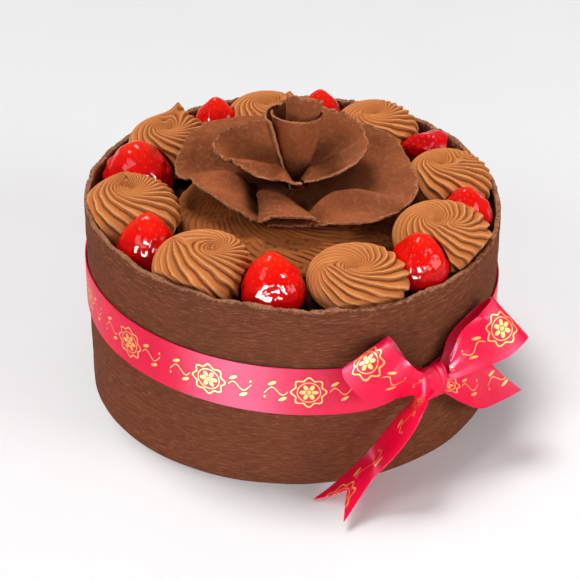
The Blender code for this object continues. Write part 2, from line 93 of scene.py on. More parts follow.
# The strawberries: place of the stem end (turn, distance, height), place of the tip, widest radius, darkness
BERRIES = (
    ((-144.1, 82.0, 87.0), (-146.0, 79.5, 112.5), 14.8, 0.1),
    ((-96.0, 81.2, 87.0), (-97.0, 79.0, 112.8), 15.3, 0.0),
    ((-46.2, 82.1, 87.0), (-45.4, 82.4, 110.8), 14.8, 0.0),
    ((-9.0, 83.6, 87.0), (-9.5, 82.5, 109.5), 13.2, 0.1),
    ((30.3, 88.9, 97.1), (42.5, 72.0, 97.4), 10.7, 0.8),
    ((80.3, 82.0, 87.0), (80.6, 83.5, 112.5), 12.8, 0.2),
    ((118.6, 82.3, 87.0), (118.8, 82.5, 112.5), 13.8, 0.1),
    ((163.8, 78.8, 87.0), (163.6, 79.0, 113.5), 18.1, 0.15),
)
# the part of the shape that the stem end is cut at, the height they stand on and how far up their red brightens
BERRY_CUT = 0.12
BERRY_BASE = 86.0
BERRY_HEIGHT = 27.0
# how far the cream stays away from them
BERRY_GAP = 0.25
# how many seeds, and the turn in radians from each to the next
SEEDS = 130
GOLDEN_ANGLE = 2.39996
# the dimple round each seed and the rise at its middle: how far down or up, and how wide
DIMPLE = (0.16, 0.95)
SEED_RISE = (0.10, 0.42)

# The rose: every rim is a list of (turn, distance from the rose's axis, height)
ROSE_AXIS = (1.3, 2.0)
# where the low and the middle petals begin, as (distance, height), and the power that their bowls rise with
LOW_FOOT = (6.2, 101.6)
MID_FOOT = (7.2, 107.2)
BOWL_CURVE = 1.6
LOW_LEFT_RIM = (
    (95, 56, 112), (107, 55, 112), (122, 58, 112.5), (136, 62, 112.5), (150, 62, 111),
    (165, 60, 107.5), (176, 58.5, 107), (185, 56, 109), (200, 50.5, 110.5), (216, 46.5, 110),
    (229, 45, 108), (239, 42.5, 104.5), (246, 41.0, 102.0),
)
LOW_RIGHT_RIM = (
    (89, 55, 112), (68, 55, 112), (50, 56, 112), (39, 60, 110), (22, 57.5, 108), (5, 57.5, 106.5),
    (-8, 59.5, 105.5), (-17, 57.5, 102.5), (-37, 54, 103), (-56, 49, 104), (-69, 42.5, 102.5),
    (-79, 38.5, 100.6), (-91, 37.0, 99.9), (-103, 37.5, 99.8), (-110, 38.5, 99.9),
)
MID_LEFT_RIM = (
    (92, 33, 123), (110, 32, 122), (140, 35.5, 122), (160, 40, 121), (179, 39.5, 120),
    (191, 34.5, 118), (215, 27.5, 117), (242, 23.5, 116), (277, 24, 115.5),
)
MID_RIGHT_RIM = (
    (88, 34, 126), (67, 36, 127), (52, 38, 126), (36, 38, 125), (22, 36.5, 122), (9, 35, 119),
    (-8, 29.5, 117), (-34, 24, 116), (-58, 21, 115), (-79, 21, 115),
)
# folds in a petal: the line they follow as (turn, distance) points, height, width
LOW_LEFT_FOLDS = (
    (((194, 57), (196, 45), (201, 29)), 8.5, 5.5), (((222, 22), (240, 34)), -3, 7),
    (((150, 26), (158, 48)), -4.5, 11),
)
LOW_RIGHT_FOLDS = (
    (((289, 35), (306, 32), (321, 36.5), (329, 46), (333, 55)), 9.5, 5.0), (((300, 18), (335, 22)), -3, 5),
    (((354, 33), (360, 47)), -3.5, 8), (((50, 24), (40, 46)), -3, 12),
)
MID_LEFT_FOLDS = (
    (((189, 38), (203, 29), (217, 20), (231, 15)), 8.0, 3.6), (((226, 24), (212, 30)), -1.5, 3.5),
    (((242, 10), (254, 22)), 5.5, 3.2), (((160, 14), (165, 28)), -3, 7),
)
MID_RIGHT_FOLDS = (
    (((297, 15), (345, 16), (3, 23.3), (9, 30), (13, 35)), 8.0, 3.8), (((330, 24), (350, 28)), -2.0, 4),
    (((50, 14), (40, 27)), -3, 6),
)
# painted shadows on the low petals beside the arched one, in their deep folds: the line as above, how dark, width
LOW_LEFT_PAINTED_SHADOWS = ((((192, 22), (214, 24.5), (235, 32)), 1.0, 6.0),)
LOW_RIGHT_PAINTED_SHADOWS = ((((281, 18), (285, 28)), 0.85, 4.0),)
# the four bowl-shaped petals: name, rim, foot, folds, painted shadows, seed
PETALS = (
    ("low_left", LOW_LEFT_RIM, LOW_FOOT, LOW_LEFT_FOLDS, LOW_LEFT_PAINTED_SHADOWS, 101),
    ("low_right", LOW_RIGHT_RIM, LOW_FOOT, LOW_RIGHT_FOLDS, LOW_RIGHT_PAINTED_SHADOWS, 111),
    ("mid_left", MID_LEFT_RIM, MID_FOOT, MID_LEFT_FOLDS, (), 121),
    ("mid_right", MID_RIGHT_RIM, MID_FOOT, MID_RIGHT_FOLDS, (), 131),
)
# how much painted shade darkens the sheets at their foot, and how wide the scuffed edge is at their ends
FOOT_PAINTED_SHADE = 0.68
END_EDGE = 1.6
# the arched front petal: its back and front points, and its half widths and heights there
FLAP_BACK = (-11, -17, 106.5)
FLAP_FRONT = (-1.4, -38.5, 103.7)
FLAP_HALF_WIDTHS = (5.6, 14.0)
FLAP_ARCHES = (3.0, 5.0)
# its length round the lip and its breadth
FLAP_SIZE = (34, 24)
# the rolled sheets: foot and mouth as (distance, height), first and last turn, how far the mouth is moved, its
# tilt and how far the last edge flares out
CONE = ((2.4, 101.4), (11.6, 140.5), (165.0, 585.0), (0, 0), 1.2, 2.6)
CORE = ((3.0, 118.0), (7.0, 148.4), (40.0, 480.0), (3.6, -0.6), 4.8, 0.0)
# how much further out each turn of a roll lies
TURN_GROWTH = 2.2

# The ribbon: the height of its lower edge and how that slopes along x and y, then how far from the knot it is
# gathered and by what part of its width
RIBBON_FOOT = 40.0
RIBBON_SLOPE = (-0.052, -0.007)
GATHER = (15.0, 0.62)
# how far the ribbon lies from the band
RIBBON_GAP = 0.4
# the bow's knot: its place, and its size along the band, away from it and up
BOW_TURN = -52.9
BOW_DISTANCE = 106.2
BOW_HEIGHT = 48.2
KNOT_SIZE = (13.6, 9.8, 16.8)
# paths of the bow's strips seen from the knot: along the band, away from it, up; then the width's direction and
# its part of the ribbon's full width
LEFT_LOOP = (
    ((-7.2, -2.6, 2.4), (-0.06, 0.12, 0.99), 0.42), ((-22.0, -4.5, 11.1), (0.46, 0.18, 0.87), 0.90),
    ((-29.2, -7.0, 19.9), (0.80, 0.05, 0.60), 0.98), ((-35.0, -6.0, 26.9), (0.95, 0.05, 0.31), 1.0),
    ((-37.6, -1.5, 25.0), (0.81, 0.19, 0.55), 1.0), ((-30.0, 1.5, 14.7), (0.78, 0.08, 0.63), 1.0),
    ((-19.4, 3.0, 9.2), (0.30, 0.28, 0.91), 0.75), ((-7.4, 2.4, 3.6), (-0.03, 0.10, 0.99), 0.44),
)
RIGHT_LOOP = (
    ((7.9, -2.6, 2.6), (-0.10, -0.06, 0.99), 0.42), ((17.1, -4.3, 6.4), (-0.31, -0.08, 0.95), 0.88),
    ((33.8, -2.8, 12.6), (-0.40, -0.38, 0.83), 1.0), ((46.1, -2.0, 15.7), (-0.38, -0.60, 0.71), 1.0),
    ((42.9, 3.0, 18.3), (-0.38, -0.62, 0.69), 1.0), ((31.8, 5.0, 14.8), (-0.36, -0.49, 0.80), 1.0),
    ((17.5, 5.0, 12.3), (-0.36, -0.23, 0.90), 0.90), ((8.2, 2.2, 5.0), (0.05, -0.04, 0.99), 0.48),
)
SHORT_TAIL = (
    ((7.5, -0.6, -5.3), (-0.13, -0.06, 0.99), 0.38), ((16.6, 0.9, -9.1), (-0.13, -0.10, 0.98), 0.78),
    ((28.0, 0.0, -15.0), (-0.16, -0.16, 0.97), 1.0), ((42.9, -4.3, -20.0), (-0.21, -0.23, 0.95), 1.0),
    ((61.0, -9.0, -24.3), (-0.28, -0.23, 0.93), 1.0),
)
# how much of their length the tails' slanted and notched ends take
SHORT_TAIL_SLANT = 0.2
# stations of the long tail: (turn, distance, height) of the edge by the cake, then the width as above
LONG_TAIL = (
    ((-54.2, 103.8, 43.0), (0.36, -0.78, 0.50), 0.42), ((-57.0, 103.6, 40.4), (0.36, -0.76, 0.54), 0.58),
    ((-58.6, 103.4, 37.6), (0.36, -0.75, 0.56), 0.74), ((-61.3, 103.3, 34.0), (0.36, -0.75, 0.56), 0.97),
    ((-65.2, 103.3, 27.1), (0.42, -0.77, 0.49), 1.0), ((-70.3, 103.4, 16.6), (0.45, -0.75, 0.49), 1.0),
    ((-75.9, 104.0, 7.6), (0.48, -0.73, 0.49), 1.0), ((-80.3, 107.0, 3.1), (0.50, -0.79, 0.36), 1.0),
    ((-84.7, 112.5, 1.0), (0.53, -0.82, 0.17), 1.0),
)
LONG_TAIL_NOTCH = 0.15
# where the strips are pleated: part of the way along, depth, how far it fades, phase
LOOP_GATHERS = ((0, 0.7, 7, 0), (1, 0.9, 8, 1.5))
SHORT_GATHERS = ((0, 0.6, 8, 0),)
LONG_GATHERS = ((0, 0.6, 8, 2),)

# The photograph's camera: distance and height of what it looks at in metres, its tilts in degrees, and its focal
# length and centre in the picture's 580 pixels
CAMERA_DISTANCE = 0.9116
CAMERA_TARGET = 0.05
CAMERA_DOWN = 32.25
CAMERA_ROLL = 0.42
FOCAL_PIXELS = 1845.3
CENTRE_PIXELS = (292.36, 277.74)
PICTURE_PIXELS = 580
SENSOR = 36.0
# panels that only show as reflections in the ribbon and the glaze: side, energy in watts, place, size
REFLECTORS = (
    ("left", 140.0, (-0.42, -0.83, 0.27), (0.66, 0.42)), ("front", 24.0, (0.15, -1.1, 0.45), (0.16, 0.4)),
    ("right", 26.0, (0.62, -0.85, 0.5), (0.14, 0.4)),
)
# the lights: name, kind, energy in watts, or the sun's in watts per square metre, colour, place, and size in metres
# or the sun's angle in degrees
LIGHTS = (
    ("window", "SUN", 2.7, (1, 0.99, 0.98), (-0.24, 0.24, 1.0), 20),
    ("left_softbox", "AREA", 4.6, (1, 0.99, 0.97), (-0.75, -0.7, 0.95), (0.4, 0.4)),
    ("right_softbox", "AREA", 8.0, (1, 0.98, 0.97), (1.0, -0.5, 0.52), (0.5, 0.4)),
)
# the point that every light is aimed at, and the colour and strength of the pale surroundings
LIGHT_AIM = (0, 0, 0.06)
SURROUNDINGS = (1.0, 0.99, 0.99, 1)
SURROUNDINGS_STRENGTH = 0.36
FLOOR_SIZE = 4000.0


# ---------------------------------------------------------------- arithmetic on whole arrays


def grid(rows, columns, wrap=False):
    """Two arrays: u from 0 to 1 along the columns, v from 0 to 1 down the rows. With wrap, u stops short of 1."""
    u = np.linspace(0, 1, columns, endpoint=not wrap)
    return np.meshgrid(u, np.linspace(0, 1, rows))


def xyz(x, y, z):
    """Points from their coordinates, each an array or one number for all."""
    return np.stack(np.broadcast_arrays(x, y, z), -1).astype(float)


def polar(turn, distance, height):
    """Points from turns in degrees, distances from the cake's axis and heights."""
    a = np.radians(turn)
    return xyz(distance * np.cos(a), distance * np.sin(a), height)


def unit(vectors):
    """Vectors divided by their lengths."""
    return vectors / np.maximum(np.linalg.norm(vectors, axis=-1, keepdims=True), 1e-9)


def smooth_step(x):
    """3 x squared less 2 x cubed: a soft rise from 0 at 0 to 1 at 1, flat on either side."""
    x = np.clip(x, 0, 1)
    return x * x * (3 - 2 * x)


def smooth_path(points, s):
    """Points at s, from 0 to 1, of a Catmull-Rom curve through evenly spaced points of any dimension."""
    points = np.asarray(points, float)
    points = np.vstack([2 * points[0] - points[1], points, 2 * points[-1] - points[-2]])
    at = np.clip(s, 0, 1) * (len(points) - 3)
    i = np.minimum(at.astype(int), len(points) - 4)
    f = (at - i)[..., None]
    a, b, c, d = (points[i + k] for k in range(4))
    return 0.5 * (2 * b + (c - a) * f + (2 * a - 5 * b + 4 * c - d) * f**2 + (3 * b - a - 3 * c + d) * f**3)


def lumps(points, size, seed):
    """Soft lumps from about -1 to 1: the sum of 14 sine waves about size long, in random directions."""
    rng = np.random.default_rng(seed)
    count = 14
    waves = unit(rng.normal(size=(count, 3))) * rng.uniform(0.7, 1.5, (count, 1)) * 2 * math.pi / size
    return np.sin(points @ waves.T + rng.uniform(0, 2 * math.pi, count)).sum(-1) / count**0.5 / 1.2


def ragged(x, size, seed, period):
    """A broken line from -1 to 1 that repeats: random values a size apart along x, joined by straight lines."""
    rng = np.random.default_rng(seed)
    count = max(round(period / size), 4)
    values = rng.uniform(-1, 1, count)
    at = x / period * count
    return np.interp(at % count, np.arange(count + 1), np.append(values, values[0]))


def frayed(x, seed, period=400):
    """How far a broken edge falls back along its length, in millimetres: mostly little, here and there a notch."""
    coarse = np.maximum(ragged(x, 5.0, seed, period), 0) ** 2 * 1.1
    middle = np.maximum(ragged(x, 1.7, seed + 1, period), 0) ** 1.5 * 0.8
    fine = np.abs(ragged(x, 0.6, seed + 2, period)) * 0.35
    return coarse + middle + fine


# ---------------------------------------------------------------- meshes


def quads_of(rows, columns, wrap=False, wrap_rows=False):
    """Corner numbers of a grid's quads; wrap joins the last column to the first, wrap_rows the last row."""
    r = np.arange(rows if wrap_rows else rows - 1)[:, None]
    c = np.arange(columns if wrap else columns - 1)[None]
    below, right = (r + 1) % rows * columns, (c + 1) % columns
    return np.stack([r * columns + c, r * columns + right, below + right, below + c], -1).reshape(-1, 4)


def with_poles(values):
    """A grid's values with the first and last row as one value each, which come first."""
    values = np.asarray(values, float)
    flat = values[1:-1].reshape(-1, *values.shape[2:])
    return np.concatenate([values[0, :1], values[-1, :1], flat])


def round_faces(rows, columns):
    """Faces for with_poles: a fan of triangles at each pole and quads between."""
    c = np.arange(columns)
    n = (c + 1) % columns
    last = (rows - 3) * columns + 2
    fans = np.concatenate([np.stack([0 * c, n + 2, c + 2], -1), np.stack([0 * c + 1, last + c, last + n], -1)])
    return [quads_of(rows - 2, columns, True) + 2, fans]


def thick_sheet(points, thickness):
    """Both faces of a sheet, half a thickness either way along its normals, and the walls round its edge."""
    rows, columns = points.shape[:2]
    normal = unit(np.cross(np.gradient(points, axis=1), np.gradient(points, axis=0)))
    half = 0.5 * np.broadcast_to(thickness, points.shape[:2])[..., None] * normal
    both = np.concatenate([(points + half).reshape(-1, 3), (points - half).reshape(-1, 3)])
    count = rows * columns
    index = np.arange(count).reshape(rows, columns)
    starts = np.concatenate([index[0, :-1], index[:-1, -1], index[-1, :0:-1], index[:0:-1, 0]])
    ends = np.roll(starts, -1)
    quads = quads_of(rows, columns)
    walls = np.stack([ends, starts, starts + count, ends + count], -1)
    return both, [np.concatenate([quads, quads[:, ::-1] + count, walls])]


def twice(values):
    """A sheet's values for both of its faces."""
    values = np.asarray(values, float)
    flat = values.reshape(-1, *values.shape[2:])
    return np.concatenate([flat, flat])


def volume_of(points, faces):
    """Six times the volume inside the faces: the triple product of each triangle's corners, added up."""
    total = 0
    for corners in faces:
        p = points[corners]
        for k in range(1, corners.shape[1] - 1):
            total += np.einsum("ij,ij->i", p[:, 0], np.cross(p[:, k], p[:, k + 1])).sum()
    return total


def mm(name):
    """One of the panel's sizes in millimetres."""
    return getattr(bpy.context.scene.gateau.sizes, name) / MM


def put_mesh(name, points, faces, material, slot=None, node=None, uv=None, fields=None, sharp=None):
    """Makes the piece of millimetre points and arrays of faces, turned outwards; given a node, it hangs the piece
    under the root empty and hides that imported part.
    fields are values at each point that its material reads."""
    if volume_of(points, faces) < 0:
        faces = [corners[:, ::-1] for corners in faces]
    mesh = bpy.data.meshes.new(name)
    mesh.from_pydata((points * MM).tolist(), [], [f for corners in faces for f in corners.tolist()])
    if uv is not None:
        index = np.empty(len(mesh.loops), np.int32)
        mesh.loops.foreach_get("vertex_index", index)
        layer = mesh.uv_layers.new(name="UVMap")
        layer.data.foreach_set("uv", uv[index].astype(np.float32).ravel())
    for key, values in (fields or {}).items():
        mesh.attributes.new(key, "FLOAT", "POINT").data.foreach_set("value", values.astype(np.float32).ravel())
    mesh.shade_smooth()
    if sharp:
        mesh.set_sharp_from_angle(angle=math.radians(sharp))
    mesh.materials.append(material)
    obj = bpy.data.objects.new(name, mesh)
    bpy.context.scene.collection.objects.link(obj)
    if node:
        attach(obj, "root")
        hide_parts(node)
    return obj


def put_round(name, points, material, slot, node, fields=None, **more):
    """put_mesh for a grid that closes round its columns and comes to a point in its first and last row."""
    fields = {key: with_poles(values) for key, values in (fields or {}).items()}
    faces = round_faces(*points.shape[:2])
    return put_mesh(name, with_poles(points), faces, material, slot, node, fields=fields, **more)


# ---------------------------------------------------------------- nodes and materials


class Nodes:
    """A node tree with a short way to add each kind of node: what goes in is a number, a tuple or another node's
    socket, and what comes back is the new node's output."""

    def __init__(self, tree):
        self.tree = tree

    def add(self, kind, inputs, **settings):
        made = self.tree.nodes.new(kind)
        for key, value in settings.items():
            setattr(made, key, value)
        for key, value in inputs.items():
            if isinstance(value, bpy.types.NodeSocket):
                self.tree.links.new(value, made.inputs[key])
            else:
                made.inputs[key].default_value = value
        return made.outputs

    def calc(self, operation, a, b=0.0, c=0.0):
        return self.add("ShaderNodeMath", {0: a, 1: b, 2: c}, operation=operation)[0]

    def times(self, a, b):
        return self.calc("MULTIPLY", a, b)

    def mix(self, part, a, b):
        return self.add("ShaderNodeMix", {0: part, 6: a, 7: b}, data_type="RGBA")[2]

    def span(self, value, low, high, to_low=0.0, to_high=1.0):
        """value carried from the range low to high to another range, and kept inside it."""
        return self.add("ShaderNodeMapRange", {0: value, 1: low, 2: high, 3: to_low, 4: to_high}, clamp=True)[0]

    def noise(self, vector, scale, detail=3.0, rough=0.55, stretch=(1, 1, 1)):
        placed = self.add("ShaderNodeMapping", {"Vector": vector, "Scale": stretch})[0]
        inputs = {"Vector": placed, "Scale": scale, "Detail": detail, "Roughness": rough}
        return self.add("ShaderNodeTexNoise", inputs)[0]

    def place(self):
        """The place on the object, in metres."""
        return self.add("ShaderNodeTexCoord", {})["Object"]

    def sheet(self):
        """The place along and across a sheet or strip, in metres."""
        return self.add("ShaderNodeUVMap", {}, uv_map="UVMap")[0]

    def field(self, name):
        return self.add("ShaderNodeAttribute", {}, attribute_name=name)["Fac"]

    def group(self, name, inputs, outputs, build):
        """The outputs of the node group of that name, which build makes if it isn't there yet."""
        tree = bpy.data.node_groups.get(name)
        if not tree:
            tree = bpy.data.node_groups.new(name, "ShaderNodeTree")
            for key in inputs:
                kind = "NodeSocketVector" if key == "Vector" else "NodeSocketFloat"
                tree.interface.new_socket(key, in_out="INPUT", socket_type=kind)
            for key in outputs:
                tree.interface.new_socket(key, in_out="OUTPUT", socket_type="NodeSocketFloat")
            results = build(Nodes(tree), tree.nodes.new("NodeGroupInput").outputs)
            end = tree.nodes.new("NodeGroupOutput")
            for key, result in zip(outputs, results):
                tree.links.new(result, end.inputs[key])
        made = self.add("ShaderNodeGroup", inputs, node_tree=tree)
        return [made[key] for key in outputs]


class Look(Nodes):
    """A material under way: settings go on its shader's own sockets, spaces written as underscores, and colour is
    what is painted so far."""

    def __init__(self, name, colour, **settings):
        self.material = bpy.data.materials.new(name)
        self.material.use_nodes = True
        super().__init__(self.material.node_tree)
        self.shader = self.tree.nodes["Principled BSDF"]
        self.colour = colour
        for key, value in settings.items():
            self.shader.inputs[key.replace("_", " ")].default_value = value

    def paint(self, part, colour, factor=1.0):
        """Paints a colour, made lighter or darker by the factor, over the last one where part is 1."""
        self.colour = self.mix(part, self.colour, shade(colour, factor))

    def grain(self, place, patch_scale, grain_scale):
        inputs = {"Vector": place, "Patch Scale": patch_scale, "Grain Scale": grain_scale}
        return self.group("grain", inputs, ("Patches", "Grain", "Height"), grain_nodes)

    def paint_edge(self, grains, colour):
        """Paints the scuffed edge that the field edge marks, and returns its mask."""
        mask = self.group("broken_edge", {"Edge": self.field("edge"), "Grain": grains}, ("Mask",), edge_nodes)[0]
        self.paint(mask, colour)
        return mask

    def finish(self, roughness, height, distance):
        """Links the colour, the roughness and a bump of that height, distance being its full height in metres."""
        bump = self.add("ShaderNodeBump", {"Height": height, "Distance": distance, "Strength": 1.0})[0]
        for key, socket in (("Base Color", self.colour), ("Roughness", roughness), ("Normal", bump)):
            self.tree.links.new(socket, self.shader.inputs[key])
        return self.material


def linear(srgb):
    """The linear light of an sRGB colour whose values go from 0 to 255, with alpha 1."""
    c = np.asarray(srgb, float) / 255
    return (*np.where(c <= 0.04045, c / 12.92, ((c + 0.055) / 1.055) ** 2.4).tolist(), 1.0)


def shade(colour, factor):
    """A colour property made lighter or darker, with alpha 1."""
    return (*[min(v * factor, 1) for v in colour[:3]], 1.0)


def grain_nodes(nodes, given):
    """Cloudy patches and fine grains, each from 0 to 1, and a height of both for a bump."""
    patches = nodes.noise(given["Vector"], given["Patch Scale"], 4, 0.6)
    grains = nodes.noise(given["Vector"], given["Grain Scale"], 3, 0.65)
    height = nodes.calc("MULTIPLY_ADD", patches, 0.6, grains)
    return nodes.span(patches, 0.3, 0.7), nodes.span(grains, 0.3, 0.7), height


def edge_nodes(nodes, given):
    """A mask where an edge is scuffed: Edge runs from 0 inside to 1 on the edge, and grains break its border."""
    uneven = nodes.calc("MULTIPLY_ADD", given["Grain"], 0.9, -0.45)
    return (nodes.span(nodes.calc("ADD", given["Edge"], uneven), 0.35, 0.95),)


def glaze_material(colours):
    """Dark poured chocolate: nearly even, with a faint gloss and faint ripples."""
    look = Look("dark_glaze", shade(colours.cake, 0.7), IOR=1.45, Specular_IOR_Level=0.04)
    patches, _, height = look.grain(look.place(), 45, 500)
    look.paint(patches, colours.cake, 1.35)
    return look.finish(look.span(patches, 0, 1, 0.35, 0.5), height, 0.0003)


def band_material(colours):
    """A rolled chocolate sheet: long fine streaks along it, cloudy patches and a scuffed, paler rim."""
    look = Look("streaked_chocolate", shade(colours.band, 0.66), IOR=1.46, Specular_IOR_Level=0.006)
    place = look.place()
    patches, grains, _ = look.grain(place, 28, 700)
    streaks = look.noise(place, 60, 5, 0.8, (1, 1, 10))
    hairs = look.noise(place, 210, 4, 0.75, (1, 1, 7))
    both = look.calc("MULTIPLY_ADD", hairs, 0.75, look.times(streaks, 0.45))
    look.paint(look.span(both, 0.46, 0.74), colours.band, 1.4)
    look.paint(look.times(patches, 0.45), colours.band, 0.75)
    near_top = look.span(look.field("top"), 0.0, 1.0, 0.25, 0.6)
    look.paint(look.times(look.span(hairs, 0.53, 0.66), near_top), colours.band_edge, 0.9)
    look.paint_edge(grains, colours.band_edge)
    return look.finish(look.span(both, 0.4, 0.8, 0.42, 0.62), look.calc("MULTIPLY_ADD", grains, 0.45, both), 0.0006)


def creamy(name, painted_groove_shade, face, crest, patchy):
    """Whipped cream: painted shade deep in the grooves of its ridges, a painted highlight along their crests, with
    cloudy patches and pores. Its three colours are given as a colour and a factor."""
    look = Look(name, shade(*painted_groove_shade), IOR=1.42, Specular_IOR_Level=0.008, Subsurface_Weight=0.05,
                Subsurface_Scale=0.001, Subsurface_Radius=(1.0, 0.55, 0.3))
    patches, grains, height = look.grain(look.place(), 90, 1300)
    # painted shade in the grooves, a painted highlight along the crests
    uneven = look.calc("MULTIPLY_ADD", grains, 0.16, look.calc("SUBTRACT", look.field("crest"), 0.08))
    look.paint(look.span(uneven, 0.0, 0.5), *face)
    look.paint(look.span(uneven, 0.82, 1.0), *crest)
    look.paint(look.times(patches, patchy), *painted_groove_shade)
    return look.finish(look.span(grains, 0, 1, 0.42, 0.6), height, 0.00018)


def cream_material(colours):
    """Piped chocolate cream."""
    # its colour for the grooves is painted shade, its colour for the crests a painted highlight
    return creamy("piped_cream", (colours.cream, 0.34), (colours.cream,), (colours.cream_crest_highlight,), 0.14)


def mound_material(colours):
    """The same cream darkened by the chocolate scraped into it."""
    # painted shade in the scrapes' grooves; the paler crests are partly pale streaks of cream, partly painted
    # highlight
    return creamy("scraped_cream", (colours.mound, 0.35), (colours.mound,), (colours.cream, 0.75), 0.45)


def rose_material(colours):
    """Scraped milk chocolate: satin faces with a pale bloom and painted sheen, fine scrape lines, frayed paler edges,
    and painted shade towards the sheets' feet and in their deep folds.
    """
    look = Look("scraped_chocolate", shade(colours.rose, 0.75), IOR=1.46, Specular_IOR_Level=0.002)
    place = look.place()
    patches, grains, _ = look.grain(place, 38, 750)
    scrapes = look.noise(look.sheet(), 260, 3, 0.6, (1, 0.07, 1))
    crackle = look.noise(place, 420, 5, 0.75)
    look.paint(patches, colours.rose, 1.35)
    # pale bloom and painted sheen, in soft patches
    look.paint(look.span(look.noise(place, 22, 2, 0.5), 0.52, 0.75, 0, 0.5), colours.rose_bloom_and_sheen)
    look.paint(look.span(scrapes, 0.5, 0.8, 0, 0.25), colours.rose, 0.7)
    look.paint(look.span(crackle, 0.5, 0.66, 0, 0.4), colours.rose_edge, 0.8)
    # painted shade from the field deep: darker towards the sheets' feet and along the painted shadow lines
    look.paint(look.field("deep"), colours.rose, 0.12)
    edge = look.paint_edge(grains, colours.rose_edge)
    height = look.calc("MULTIPLY_ADD", edge, grains, scrapes)
    height = look.calc("MULTIPLY_ADD", look.calc("ADD", grains, crackle), 0.35, height)
    return look.finish(look.span(patches, 0, 1, 0.48, 0.64), height, 0.0005)


def berry_material(colours):
    """Glazed strawberry: red that darkens low down and in patches, pale seeds and an uneven clear glaze."""
    look = Look("glazed_strawberry", shade(colours.berry_dark, 1.0), IOR=1.4, Specular_IOR_Level=0.0,
                Coat_Weight=1.0, Coat_Roughness=0.02, Coat_IOR=1.22,
                Subsurface_Weight=0.1, Subsurface_Scale=0.002, Subsurface_Radius=(1.0, 0.2, 0.1))
    patches, grains, _ = look.grain(look.place(), 110, 800)
    up = look.field("up")
    look.paint(look.span(up, 0.05, 0.6), colours.berry)
    look.paint(look.times(look.span(up, 0.75, 1.0, 0, 0.7), patches), colours.berry_light)
    look.paint(look.times(patches, 0.3), colours.berry_dark, 1.3)
    look.paint(look.times(look.field("dark"), 0.8), colours.berry_dark, 1.2)
    look.paint(look.times(look.field("seed"), 0.35), colours.seed)
    return look.finish(look.span(patches, 0, 1, 0.12, 0.3), look.calc("MULTIPLY_ADD", grains, 0.1, patches), 0.00025)


def design_nodes(nodes, given):
    """A gold design on a strip: 1 on it. A scalloped rosette every 46 mm, and between two of them a waved stem
    with leaves. Vector is the place along and across the strip, in metres."""
    m = nodes.calc

    def thin(distance, width, fade=0.14):
        """1 where a distance is under the width, fading to 0 over the next part of a millimetre."""
        return nodes.span(distance, width, width + fade, 1, 0)

    parts = nodes.add("ShaderNodeSeparateXYZ", {0: given[0]})
    along, across = m("MULTIPLY", parts[0], 1000), m("MULTIPLY", parts[1], 1000)
    period = 46.0
    s = m("SUBTRACT", m("MODULO", m("ADD", along, 40 * period), period), period / 2)
    radius = m("SQRT", m("ADD", m("MULTIPLY", s, s), m("MULTIPLY", across, across)))
    angle = m("ARCTAN2", across, s)
    scallops, petals = 8, 3
    scallop = m("MULTIPLY_ADD", m("COSINE", m("MULTIPLY", angle, scallops)), 0.75, 7.2)
    ring = thin(m("ABSOLUTE", m("SUBTRACT", radius, scallop)), 0.32)
    inner_ring = thin(m("ABSOLUTE", m("SUBTRACT", radius, 5.2)), 0.14)
    petal = m("MULTIPLY", m("POWER", m("ABSOLUTE", m("COSINE", m("MULTIPLY", angle, petals))), 0.6), 4.2)
    heart_rim = m("MULTIPLY", thin(radius, 1.45), m("SUBTRACT", 1.0, thin(radius, 1.0)))
    flower = m("SUBTRACT", thin(m("SUBTRACT", radius, petal), 0.0), heart_rim)
    inside = thin(m("ABSOLUTE", m("SUBTRACT", m("ABSOLUTE", s), 14.8)), 5.3)
    leaf_step = 4.7
    wave = m("MULTIPLY", m("SINE", m("MULTIPLY", s, math.pi / leaf_step)), 1.9)
    stem = thin(m("ABSOLUTE", m("SUBTRACT", across, wave)), 0.2)
    cell = m("SUBTRACT", m("MODULO", m("ADD", s, 10 * leaf_step), leaf_step), leaf_step / 2)
    from_leaf = m("SUBTRACT", across, m("MULTIPLY", m("SIGN", wave), 4.1))
    lean = m("SUBTRACT", from_leaf, m("MULTIPLY", cell, 0.45))
    leaf = thin(m("ADD", m("POWER", m("DIVIDE", cell, 1.75), 2), m("POWER", m("DIVIDE", lean, 0.85), 2)), 1.0)
    sprig = m("MULTIPLY", m("MAXIMUM", stem, leaf), inside)
    return (m("MAXIMUM", m("MAXIMUM", ring, inner_ring), m("MAXIMUM", flower, sprig)),)


def ribbon_material(colours):
    """Satin ribbon: close threads across it, a soft gloss along it, and a gold design printed on its outer face."""
    look = Look("printed_satin", shade(colours.ribbon, 0.88), IOR=1.46, Specular_IOR_Level=0.23,
                Specular_Tint=(0.7, 0.68, 1.0, 1.0), Anisotropic=0.9, Anisotropic_Rotation=0.25,
                Subsurface_Weight=0.4, Subsurface_Scale=0.0015, Subsurface_Radius=(1.0, 0.1, 0.3))
    strip = look.sheet()
    design = look.group("gold_sprigs", {"Vector": strip}, ("Mask",), design_nodes)[0]
    worn = look.span(look.noise(strip, 2200, 2), 0.25, 0.4, 0.55, 1)
    mask = look.times(look.times(design, look.field("face")), worn)
    threads = look.noise(strip, 900, 2, 0.5, (6, 0.35, 1))
    look.paint(look.span(threads, 0.35, 0.65), colours.ribbon, 1.06)
    look.paint(look.span(look.noise(look.place(), 30, 2, 0.5), 0.4, 0.7, 0, 0.25), colours.ribbon, 0.8)
    look.paint(mask, colours.gold)
    look.tree.links.new(look.times(mask, 0.2), look.shader.inputs["Metallic"])
    height = look.calc("MULTIPLY_ADD", mask, 0.8, threads)
    return look.finish(look.span(threads, 0.3, 0.7, 0.33, 0.41), height, 0.00005)


